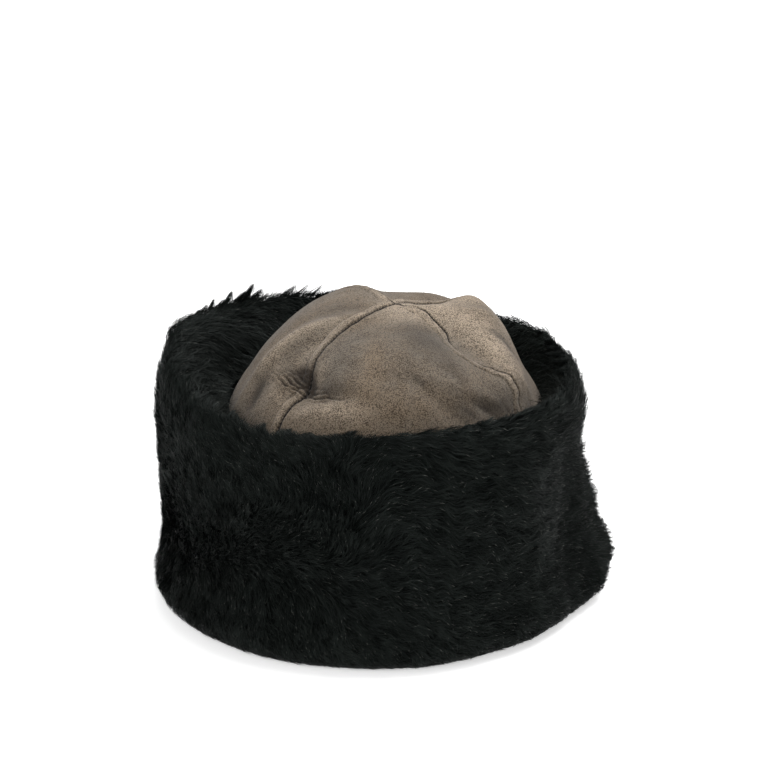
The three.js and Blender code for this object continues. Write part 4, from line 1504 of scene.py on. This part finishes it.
    def apex_stitches(self, finish: Material) -> Object:
        """The crossed stitches that lock the four seams at the apex."""
        pairs = np.arange(self.apex_stitch_pairs) - (self.apex_stitch_pairs - 1) / 2
        across = np.repeat(pairs * self.apex_stitch_gap, 2)
        bearing = np.where(across < 0, -90.0, 90.0)
        levels = np.linspace(1.9, 1.9999, 400)
        level = []
        for here, offset in zip(bearing, np.abs(across)):
            radius, _ = self.section(here, levels)
            level.append(np.interp(-offset, -radius, levels))
        places = self.folded(bearing, np.array(level))
        facing = self.outward(self.folded, bearing, np.array(level))
        slants = np.tile([self.apex_stitch_slant, -self.apex_stitch_slant], self.apex_stitch_pairs)
        ahead = np.stack([np.ones_like(slants), slants, np.zeros_like(slants)], axis=1)
        ahead = unit(ahead - facing * (ahead * facing).sum(axis=1, keepdims=True))
        lifted = places + self.apex_stitch_lift * facing
        return self.stitch_row("stitches_apex", lifted, ahead, facing, finish)

    def build(self) -> None:
        """Makes the panels and their stitches and hands them over."""
        finishes = [Suede(self.stitch_pitch).material(), Pile().material()]
        for cut in PANELS:
            hand_over(self.panel(cut, finishes), "suede", cut.name)
        thread = Thread().material()
        for seam in SEAMS:
            hand_over(self.seam_stitches(seam, thread), "suede")
        hand_over(self.apex_stitches(thread), "suede")


@dataclass
class Cuff:
    """The turned-up cuff: two pelts of dense under-fur below a coat of long hairs."""

    crown: Crown
    seat_gap: float = 0.45
    foot_round: float = 11
    heel_round: float = 2.5
    heel_z: float = 4
    foot_z: float = 13
    waist_z: float = 46
    chest_z: float = 88
    brim_drop: float = 20
    rim_drop: float = 5
    inner_drop: float = 9
    throat_drop: float = 34
    throat_gap: float = 2.5
    seat_top_drop: float = 5
    base_inset: float = 3.5
    pelt_gap: float = 0.01
    coat_depth: float = 2.6
    lump_rise: float = 1.1
    mat_rise: float = 0.5
    pelt_columns: int = 91
    pelt_rows: int = 58
    seat_rows: int = 14
    lie_per_place: float = 190
    lie_softness: float = 14

    def point(self, bearing: Array, place: Array) -> Array:
        """Points of the fur's outer surface."""
        bearing, place = np.broadcast_arrays(np.asarray(bearing, float), np.asarray(place, float))
        foot, waist, chest, brim, ridge, height = (
            read_around(CUFF_SECTIONS, column, bearing)
            for column in ("foot", "waist", "chest", "brim", "ridge", "height")
        )
        seat = self.crown.band_radius(bearing) + self.seat_gap
        radii = [foot - self.foot_round, foot - self.heel_round, foot, waist, chest, brim,
                 mix(brim, ridge, 0.4), ridge, mix(ridge, seat, 0.45), seat + self.throat_gap]
        heights = [0, self.heel_z, self.foot_z, self.waist_z, self.chest_z,
                   height - self.brim_drop, height - self.rim_drop, height,
                   height - self.inner_drop, height - self.throat_drop]
        along = place * (len(radii) - 1)
        z = smooth_through(heights, along)
        outside = 1 - fade(5, 6, along)
        radius = smooth_through(radii, along) - outside * self.dent_depth(bearing, z)
        return around_axis(radius, bearing, np.maximum(0, z))

    def dent_depth(self, bearing: Array, z: Array) -> Array:
        """How deep the partings press the fur in."""
        depth = np.zeros_like(z)
        for dent in CUFF_DENTS:
            turn = half_turn(bearing - dent.bearing) / dent.half_angle
            depth += dent.depth * np.exp(-(turn**2) - ((z - dent.z) / dent.half_height) ** 2)
        return depth

    def surface(self, bearing: Array, place: Array) -> tuple[Array, Array, Array]:
        """The fur's surface at bearings and places.

        Args:
            bearing: bearings in degrees.
            place: places over the cuff.

        Returns:
            The points, the outward normals, and the millimetres that one unit of place covers.
        """
        turn = 0.3
        step = 0.004
        around = self.point(bearing + turn, place) - self.point(bearing - turn, place)
        up = self.point(bearing, place + step) - self.point(bearing, place - step)
        normal = unit(np.cross(around, up))
        return self.point(bearing, place), normal, np.linalg.norm(up, axis=-1) / (2 * step)

    def lie(self, bearing: Array, place: Array) -> dict[str, Array]:
        """How the fur lies, weighed from the nearest rows of the lie table.

        Args:
            bearing: bearings in degrees.
            place: places over the cuff.

        Returns:
            The heading in radians, and the table's other columns, by name.
        """
        total, sine, cosine = (np.zeros_like(bearing) for _ in range(3))
        names = [field.name for field in fields(Nap)] + ["tone"]
        columns = {name: np.zeros_like(bearing) for name in names}
        for row in FUR_LIE:
            turn = half_turn(bearing - row.bearing)
            up = (place - row.place) * self.lie_per_place
            weight = 1 / (self.lie_softness + turn**2 + up**2) ** 2
            total += weight
            sine += weight * math.sin(row.heading * DEGREE)
            cosine += weight * math.cos(row.heading * DEGREE)
            for name, values in columns.items():
                values += weight * getattr(row if name == "tone" else row.fur.value, name)
        read = {name: values / total for name, values in columns.items()}
        read["heading"] = np.arctan2(sine, cosine)
        return read

    def pelt(self, side: int, finish: Material) -> Object:
        """One pelt's under-fur: a hide drawn round half the cuff, closed under the long hairs.

        Args:
            side: -1 for the left half, 1 for the right.
            finish: its material.

        Returns:
            The finished pelt.
        """
        name = "pelt_left" if side < 0 else "pelt_right"
        rows = self.pelt_rows + self.seat_rows + 1
        piece, column, row = flat_cut(name, self.pelt_columns, rows)
        first = -180 if side < 0 else 0
        bearing = np.linspace(first, first + 180, self.pelt_columns)[None, :]
        place = np.linspace(0, 1, self.pelt_rows)[:, None]
        points, normal, _ = self.surface(bearing, np.clip(place, 0.004, 0.996))
        depth = self.coat_depth * fade(0, 0.12, place) * (1 - fade(0.9, 1, place))
        lumps = self.lump_rise * rough_noise(points, 9, seed=2.0)
        lumps += self.mat_rise * rough_noise(points, 3.5, seed=9.0)
        points = points - normal * (depth + (lumps - 0.6) * fade(0, 0.08, place))[..., None]
        points[..., 2] = np.maximum(points[..., 2], 0)
        seat = self.crown.band_radius(bearing) + self.seat_gap
        throat_z = points[-1, :, 2] - self.seat_top_drop
        down = np.linspace(0, 1, self.seat_rows)[:, None]
        down = np.minimum(1, down * self.seat_rows / (self.seat_rows - 1))
        wall_z = mix(throat_z, self.base_inset, down)
        wall = around_axis(np.broadcast_to(seat, wall_z.shape), bearing, wall_z)
        wall[-1] = around_axis(seat + self.base_inset, bearing, np.zeros_like(bearing))[0]
        wall[-1, :, 2] = 0
        grid = np.concatenate([points, wall, points[:1]])
        grid[:, [0, -1], 0] = side * self.pelt_gap / 2
        move_vertices(piece, to_frame(grid)[row, column])
        select_vertices(piece, np.ones(len(column), bool))
        bpy.ops.mesh.remove_doubles(threshold=0.01 * MM)
        bpy.ops.mesh.select_all(action="DESELECT")
        bpy.ops.mesh.select_non_manifold()
        bpy.ops.mesh.fill()
        bpy.ops.mesh.select_all(action="SELECT")
        bpy.ops.mesh.normals_make_consistent(inside=False)
        bpy.ops.object.mode_set(mode="OBJECT")
        piece.data.materials.append(finish)
        smooth_shaded(piece)
        return piece

    def build(self) -> None:
        """Makes both pelts and hands them over."""
        finish = UnderFur().material()
        for side, node in ((-1, "cuff_left"), (1, "cuff_right")):
            hand_over(self.pelt(side, finish), "fur", node)


@dataclass
class Coat:
    """The coat of long hairs on the cuff: one hair modelled once, laid in arrays and combed."""

    cuff: Cuff
    seed: int = 41
    skin_area: float = 133000
    strand_spacing: float = 1.9
    crest: float = -0.9
    root_depth: float = 3.2
    swirl: float = 24
    swirl_size: float = 22
    flick: float = 10
    flick_size: float = 7
    tuft_size: float = 9
    tuft_rise: float = 2.0
    tuft_tone: float = 0.42
    lock_size: float = 4.6
    lock_rise: float = 1.0
    lock_tone: float = 0.30
    strand_tone: float = 0.15
    wave_length: float = 15
    wave_shift: float = 2.2
    wave_shift_size: float = 16
    middle_tone: float = 0.40
    hair_tone: float = 0.22
    glint_share: float = 0.035
    stray_share: float = 0.14
    stray_spread: float = 2.2
    stray_gather: float = 0.1
    stray_width: float = 0.6
    stray_lift: tuple[float, float] = (0.5, 3.6)
    roll: float = 0.6
    station_power: float = 0.92
    rise_end: float = 0.5
    lift_start: float = 0.35
    lift_power: float = 1.4
    gather_power: float = 1.6
    taper_power: float = 2.2
    wisp_width: float = 0.42
    wisp_wave: float = 18
    wisp_segments: int = 5
    thick_wisp: int = 20
    floor_gap: float = 0.15

    def __post_init__(self) -> None:
        """Starts the random draws and plants the strands."""
        self.random = np.random.default_rng(self.seed)
        self.strands = self.plant_strands()

    def scatter(self, turn_ends: tuple[float, float], place_ends: tuple[float, float],
                count: int) -> tuple[Array, Array]:
        """Random places on the cuff, even over its surface.

        Args:
            turn_ends: the first and the last bearing.
            place_ends: the first and the last place.
            count: how many places.

        Returns:
            Their bearings and places.
        """
        turns = np.linspace(*turn_ends, 61)
        places = np.linspace(*place_ends, 81)
        turn_middle = (turns[1:] + turns[:-1]) / 2
        place_middle = (places[1:] + places[:-1]) / 2
        grid_turn, grid_place = np.meshgrid(turn_middle, place_middle, indexing="ij")
        points, _, chain = self.cuff.surface(grid_turn, grid_place)
        area = (chain * np.hypot(points[..., 0], points[..., 1])).ravel()
        cell = self.random.choice(area.size, size=count, p=area / area.sum())
        i, j = np.unravel_index(cell, grid_turn.shape)
        turn = turns[i] + self.random.random(count) * (turns[1] - turns[0])
        place = places[j] + self.random.random(count) * (places[1] - places[0])
        return turn, place

    def plant_strands(self) -> dict[str, Array]:
        """The strands that the hairs gather in: where they stand, and how each one lies."""
        count = int(self.skin_area / self.strand_spacing**2)
        bearing, place = self.scatter((-180, 180), (COAT_FOOT, COAT_TOP), count)
        points, _, _ = self.cuff.surface(bearing, place)
        swirl = rough_noise(points, self.swirl_size, seed=4.2)
        flick = rough_noise(points, self.flick_size, seed=8.6)
        turn = swirl * self.swirl + flick * self.flick
        tufts = rough_noise(points, self.tuft_size, seed=1.3)
        locks = rough_noise(points, self.lock_size, seed=5.7)
        crest = self.tuft_rise * tufts + self.lock_rise * locks
        # Painted light and shade by height: hairs in high tufts and locks are paler, those lying low in
        # the coat darker.
        tone = self.tuft_tone * tufts + self.lock_tone * locks
        phase = self.wave_shift * rough_noise(points, self.wave_shift_size, seed=6.4)
        return {
            "points": points,
            "turn": (turn + self.random.normal(0, 6, count)) * DEGREE,
            "length": self.random.uniform(0.8, 1.2, count) * (1 + 0.15 * tufts),
            "crest": crest + self.random.normal(0, 0.45, count),
            "lift": self.random.uniform(0.3, 1.7, count),
            "curl": self.random.normal(0, 12, count) * DEGREE,
            "phase": phase + self.random.normal(0, 0.9, count),
            "tone": tone + self.random.normal(0, self.strand_tone, count),
        }

    def nearest_strand(self, points: Array) -> Array:
        """The number of the strand nearest to each point."""
        tree = KDTree(len(self.strands["points"]))
        for number, point in enumerate(self.strands["points"]):
            tree.insert(point, number)
        tree.balance()
        return np.array([tree.find(point)[1] for point in points])

    def comb(self, hairs: dict[str, Array], shares: Array) -> tuple[Array, Array]:
        """Lays hairs along the surface, station by station.

        Args:
            hairs: by name, the roots' bearing and place, and each hair's heading, length, curl, wave,
                phase, crest and lift.
            shares: how far along the hair each station is, from 0 at the root to 1 at the tip.

        Returns:
            The hairs' points and the surface's normals, station by station.
        """
        points = []
        normals = []
        bearing = hairs["bearing"]
        place = hairs["place"]
        last_share = 0.0
        for share in shares:
            here, normal, chain = self.cuff.surface(bearing, place)
            if share > 0:
                reach = np.hypot(here[:, 0], here[:, 1])
                around = TURN * bearing * DEGREE * reach / self.wave_length
                way = hairs["heading"] + hairs["curl"] * (share + last_share) / 2
                way = way + hairs["wave"] * DEGREE * np.sin(around + hairs["phase"])
                onward = (share - last_share) * hairs["length"]
                bearing = bearing + onward * np.sin(way) / reach / DEGREE
                place = np.clip(place + onward * np.cos(way) / chain, 0.006, 0.992)
                here, normal, _ = self.cuff.surface(bearing, place)
            rise = np.sin(np.minimum(1, share / self.rise_end) * math.pi / 2)
            height = mix(-self.root_depth, hairs["crest"], rise)
            lifted = max(0.0, (share - self.lift_start) / (1 - self.lift_start))
            height = height + hairs["lift"] * lifted ** self.lift_power
            points.append(here + normal * height[:, None])
            normals.append(normal)
            last_share = share
        return np.stack(points, axis=1), np.stack(normals, axis=1)

    def hair(self, shares: Array) -> Object:
        """One hair, modelled flat: a narrow ribbon along Y that ends in a point."""
        clear_selection()
        bpy.ops.mesh.primitive_plane_add(size=1)
        piece = bpy.context.active_object
        places = vertex_places(piece)
        places[:, 1] = np.where(places[:, 1] > 0, shares[1], shares[0])
        move_vertices(piece, places)
        for low, high in zip(shares[1:], shares[2:]):
            select_vertices(piece, vertex_places(piece)[:, 1] > low - 0.01)
            step = (0, high - low, 0)
            bpy.ops.mesh.extrude_region_move(TRANSFORM_OT_translate={"value": step})
            bpy.ops.object.mode_set(mode="OBJECT")
        select_vertices(piece, vertex_places(piece)[:, 1] > shares[-1] - 0.01)
        bpy.ops.mesh.merge(type="CENTER")
        bpy.ops.object.mode_set(mode="OBJECT")
        return piece

    def array_of_hairs(self, name: str, count: int,
                       shares: Array) -> tuple[Object, Array, Array, Array]:
        """Many copies of the one hair, stacked in an array.

        Args:
            name: the piece's name.
            count: how many hairs it has.
            shares: the hair's stations.

        Returns:
            The piece, and each vertex's hair, side and station.
        """
        piece = self.hair(shares)
        piece.name = name
        piece.data.name = name
        stack = piece.modifiers.new("stack", "ARRAY")
        stack.count = count
        stack.use_relative_offset = False
        stack.use_constant_offset = True
        stack.constant_offset_displace = (0, 0, 1)
        apply_modifiers(piece)
        places = vertex_places(piece)
        number = np.rint(places[:, 2]).astype(int)
        station = np.abs(places[:, 1:2] - shares[None, :]).argmin(axis=1)
        return piece, number, places[:, 0], station

    def grow(self, part: CoatPart, finish: Material) -> Object:
        """Grows one stretch of the coat.

        Args:
            part: its bearings, its number of hairs and how they are made.
            finish: the hairs' material.

        Returns:
            The finished stretch.
        """
        count = part.hairs
        bearing, place = self.scatter((part.start, part.end), (part.low, part.high), count)
        roots, _, _ = self.cuff.surface(bearing, place)
        nearest = self.nearest_strand(roots)
        strand = {key: values[nearest] for key, values in self.strands.items()}
        lie = self.cuff.lie(bearing, place)
        stray = self.random.random(count) < self.stray_share
        shares = np.linspace(0, 1, part.segments + 1) ** self.station_power
        spread = lie["spread"] * np.where(stray, self.stray_spread, 1)
        spread = spread * self.random.normal(0, 1, count)
        depth = lie["loft"] * self.random.random(count) + lie["lump"] * strand["crest"]
        hairs = {
            "bearing": bearing,
            "place": place,
            "heading": lie["heading"] + strand["turn"] + spread * DEGREE,
            "length": lie["length"] * strand["length"] * self.random.uniform(0.7, 1.15, count),
            "curl": strand["curl"] + self.random.normal(0, 8, count) * DEGREE,
            "wave": lie["wave"],
            "phase": strand["phase"],
            "crest": self.crest + depth + self.random.normal(0, 0.4, count),
            "lift": lie["lift"] * strand["lift"] + stray * self.random.uniform(*self.stray_lift, count),
        }
        points, normals = self.comb(hairs, shares)
        pull = np.where(stray, self.stray_gather, lie["gather"])
        points = self.gather_tips(points, nearest, len(self.strands["points"]), pull, shares)
        # The lie table's tone is partly painted light and shade; it adds to the strands' tone and each
        # hair's own.
        tone = self.middle_tone + lie["tone"] + strand["tone"]
        tone = np.clip(tone + self.random.normal(0, self.hair_tone, count), LOWEST_TONE, HIGHEST_TONE)
        # A few hairs carry a painted glint near the tip.
        tone[self.random.random(count) < self.glint_share] = PAINTED_GLINT_TONE
        width = part.width * self.random.uniform(0.55, 1.35, count)
        width = width * np.where(stray, self.stray_width, 1)
        return self.ribbons(part.name, points, normals, tone, width, finish)

    def gather_tips(self, points: Array, group: Array, count: int, pull: Array, shares: Array) -> Array:
        """Draws the tips of each group's hairs towards their common middle.

        Args:
            points: the hairs' points, station by station.
            group: each hair's group.
            count: how many groups there are.
            pull: how far each hair gives way, from 0 to 1.
            shares: the hairs' stations.

        Returns:
            The points after gathering.
        """
        weight = np.bincount(group, minlength=count)
        middle = np.stack(
            [np.bincount(group, points[:, -1, i], minlength=count) for i in range(3)], axis=1
        ) / np.maximum(weight, 1)[:, None]
        draw = (middle[group] - points[:, -1]) * pull[:, None]
        return points + draw[:, None, :] * shares[None, :, None] ** self.gather_power

    def wisps(self, finish: Material) -> Object:
        """Grows the tufts and single hairs that stand out of the coat, as one piece."""
        group = np.repeat(np.arange(len(WISPS)), [wisp.hairs for wisp in WISPS])
        count = len(group)

        def column(name: str) -> Array:
            """A column of the wisps' table, read for each hair."""
            return np.array([getattr(wisp, name) for wisp in WISPS], float)[group]

        thick = column("hairs") > self.thick_wisp
        spread = np.where(thick, 1.5, 0.5)
        hairs = {
            "bearing": column("bearing") + self.random.normal(0, 1, count) * spread,
            "place": column("place") + self.random.normal(0, 0.006, count) * spread,
            "heading": (column("heading") + self.random.normal(0, 7, count)) * DEGREE,
            "length": column("length") * self.random.uniform(0.75, 1.15, count),
            "curl": self.random.normal(0, 22, count) * DEGREE,
            "wave": np.full(count, self.wisp_wave),
            "phase": self.random.normal(0, 1, count),
            "crest": self.random.normal(0, 0.3, count),
            "lift": column("lift") * self.random.uniform(0.6, 1.1, count),
        }
        shares = np.linspace(0, 1, self.wisp_segments + 1)
        points, normals = self.comb(hairs, shares)
        pull = np.where(thick, 0.86, 0.2)
        points = self.gather_tips(points, group, len(WISPS), pull, shares)
        tone = np.clip(self.random.normal(0.32, 0.15, count), LOWEST_TONE, HIGHEST_TONE)
        width = self.wisp_width * self.random.uniform(0.6, 1.2, count)
        return self.ribbons("fur_wisps", points, normals, tone, width, finish)

    def ribbons(self, name: str, points: Array, normals: Array, tone: Array, width: Array,
                finish: Material) -> Object:
        """Gives the combed hairs their width and tone, as one piece.

        Args:
            name: the piece's name.
            points: the hairs' points, station by station.
            normals: the surface's normals at them.
            tone: how pale each hair is, from 0 to 1.
            width: each hair's width at its widest.
            finish: their material.

        Returns:
            The finished piece.
        """
        count, stations = points.shape[:2]
        shares = np.linspace(0, 1, stations)
        piece, number, side, station = self.array_of_hairs(name, count, shares)
        ahead = unit(np.gradient(points, axis=1))
        across = unit(np.cross(ahead, normals))
        roll = self.random.normal(0, self.roll, count)[:, None, None]
        across = unit(across * np.cos(roll) + normals * np.sin(roll))
        taper = 1 - shares[None, :, None] ** self.taper_power
        offset = across * taper * width[:, None, None]
        places = points[number, station] + offset[number, station] * side[:, None]
        margin = self.random.uniform(-0.5, 2.6, count) + 1.3 * rough_noise(points[:, 0], 10, seed=5.5)
        move_vertices(piece, to_frame(self.tuck_in(places, margin[number])))
        self.map_tones(piece, tone[number], shares[station])
        piece.data.materials.append(finish)
        smooth_shaded(piece)
        return piece

    def tuck_in(self, places: Array, margin: Array) -> Array:
        """Keeps hairs off the floor, and near the rounded foot of the cuff just above it.

        Args:
            places: the hairs' vertices.
            margin: how far outside the foot each may stand.

        Returns:
            The vertices, drawn in where they stood out too far.
        """
        z = np.maximum(places[:, 2], self.floor_gap + 0.2 * np.maximum(margin, 0))
        radius = np.hypot(places[:, 0], places[:, 1])
        bearing = np.degrees(np.arctan2(places[:, 0], -places[:, 1]))
        low = 1 - np.clip(z / self.cuff.foot_z, 0, 1)
        limit = read_around(CUFF_SECTIONS, "foot", bearing) + margin - self.cuff.foot_round * low**2
        keep = np.where(low > 0, np.minimum(1, limit / radius), 1)
        return np.stack([places[:, 0] * keep, places[:, 1] * keep, z], axis=1)

    def map_tones(self, piece: Object, shade: Array, share: Array) -> None:
        """Maps each vertex by its hair's tone across and its place from root to tip up."""
        mesh = piece.data
        for layer in list(mesh.uv_layers):
            mesh.uv_layers.remove(layer)
        layer = mesh.uv_layers.new(name="OFBake")
        corner = np.empty(len(mesh.loops), np.int32)
        mesh.loops.foreach_get("vertex_index", corner)
        across = shade[corner]
        up = 0.01 + 0.98 * share[corner]
        layer.data.foreach_set("uv", np.stack([across, up], axis=1).astype(np.float32).ravel())

    def build(self) -> None:
        """Grows every stretch of the coat and the wisps, and hands them over."""
        finish = Hair().material()
        for part in COAT_PARTS:
            hand_over(self.grow(part, finish), "fur")
        hand_over(self.wisps(finish), "fur")


@dataclass
class Studio:
    """A white light table, soft lights at the back right and the front left, and the camera."""

    target: tuple[float, float, float] = (-0.00277, 0.0003, 0.090)
    distance: float = 1.6
    elevation: float = 19.6
    focal_length: float = 131.6
    shift_x: float = 0.00065
    shift_y: float = 0.0742
    table_size: float = 12
    table_drop: float = 0.05
    sky: float = 0.40
    glow: float = 0.56

    def floor(self) -> Object:
        """The light table's top: a wide sheet that drops a little at its edges, out of sight."""
        clear_selection()
        bpy.ops.mesh.primitive_grid_add(x_subdivisions=4, y_subdivisions=4, size=self.table_size)
        piece = bpy.context.active_object
        piece.name = "paper_floor"
        places = vertex_places(piece)
        select_vertices(piece, np.abs(places[:, :2]).max(axis=1) > 0.49 * self.table_size)
        bpy.ops.transform.translate(value=(0, 0, -self.table_drop))
        bpy.ops.object.mode_set(mode="OBJECT")
        piece.data.materials.append(Paper(glow=self.glow).material())
        return piece

    def hang(self, lamp: Lamp) -> None:
        """Hangs a lamp so that it faces the hat."""
        light = bpy.data.lights.new(lamp.name, "AREA")
        light.size = lamp.size
        light.energy = lamp.power
        piece = bpy.data.objects.new(lamp.name, light)
        bpy.context.collection.objects.link(piece)
        piece.location = lamp.place
        aim = Vector(self.target) - Vector(lamp.place)
        piece.rotation_euler = aim.to_track_quat("-Z", "Y").to_euler()

    def white_room(self) -> None:
        """Surrounds the studio with white: dim as a light, bright where the camera sees it."""
        world = bpy.data.worlds.new("white_studio")
        world.use_nodes = True
        nodes = world.node_tree.nodes
        links = world.node_tree.links
        seen = nodes.new("ShaderNodeLightPath")
        strength = nodes.new("ShaderNodeMapRange")
        strength.inputs["To Min"].default_value = self.sky
        strength.inputs["To Max"].default_value = 1.0
        links.new(seen.outputs["Is Camera Ray"], strength.inputs["Value"])
        background = nodes["Background"]
        background.inputs["Color"].default_value = (1, 1, 1, 1)
        links.new(strength.outputs["Result"], background.inputs["Strength"])
        bpy.context.scene.world = world

    def camera(self) -> None:
        """Sets the camera up at the photograph's angle."""
        data = bpy.data.cameras.new("camera")
        data.lens = self.focal_length
        data.shift_x = self.shift_x
        data.shift_y = self.shift_y
        piece = bpy.data.objects.new("camera", data)
        bpy.context.collection.objects.link(piece)
        rise = self.elevation * DEGREE
        back = Vector((0, -math.cos(rise), math.sin(rise)))
        piece.location = Vector(self.target) + back * self.distance
        piece.rotation_euler = (-back).to_track_quat("-Z", "Y").to_euler()
        bpy.context.scene.camera = piece

    def build(self) -> None:
        """Lays the floor and sets up sky, lights and camera."""
        bpy.context.scene.view_settings.view_transform = "Standard"
        self.floor()
        self.white_room()
        for lamp in LAMPS:
            self.hang(lamp)
        self.camera()


def main() -> None:
    """Builds the studio and the hat's sub-assemblies, in order."""
    logging.basicConfig(level=logging.INFO, format="%(message)s")
    Studio().build()
    crown = Crown()
    crown.build()
    cuff = Cuff(crown)
    cuff.build()
    Coat(cuff).build()


if __name__ == "__main__":
    main()
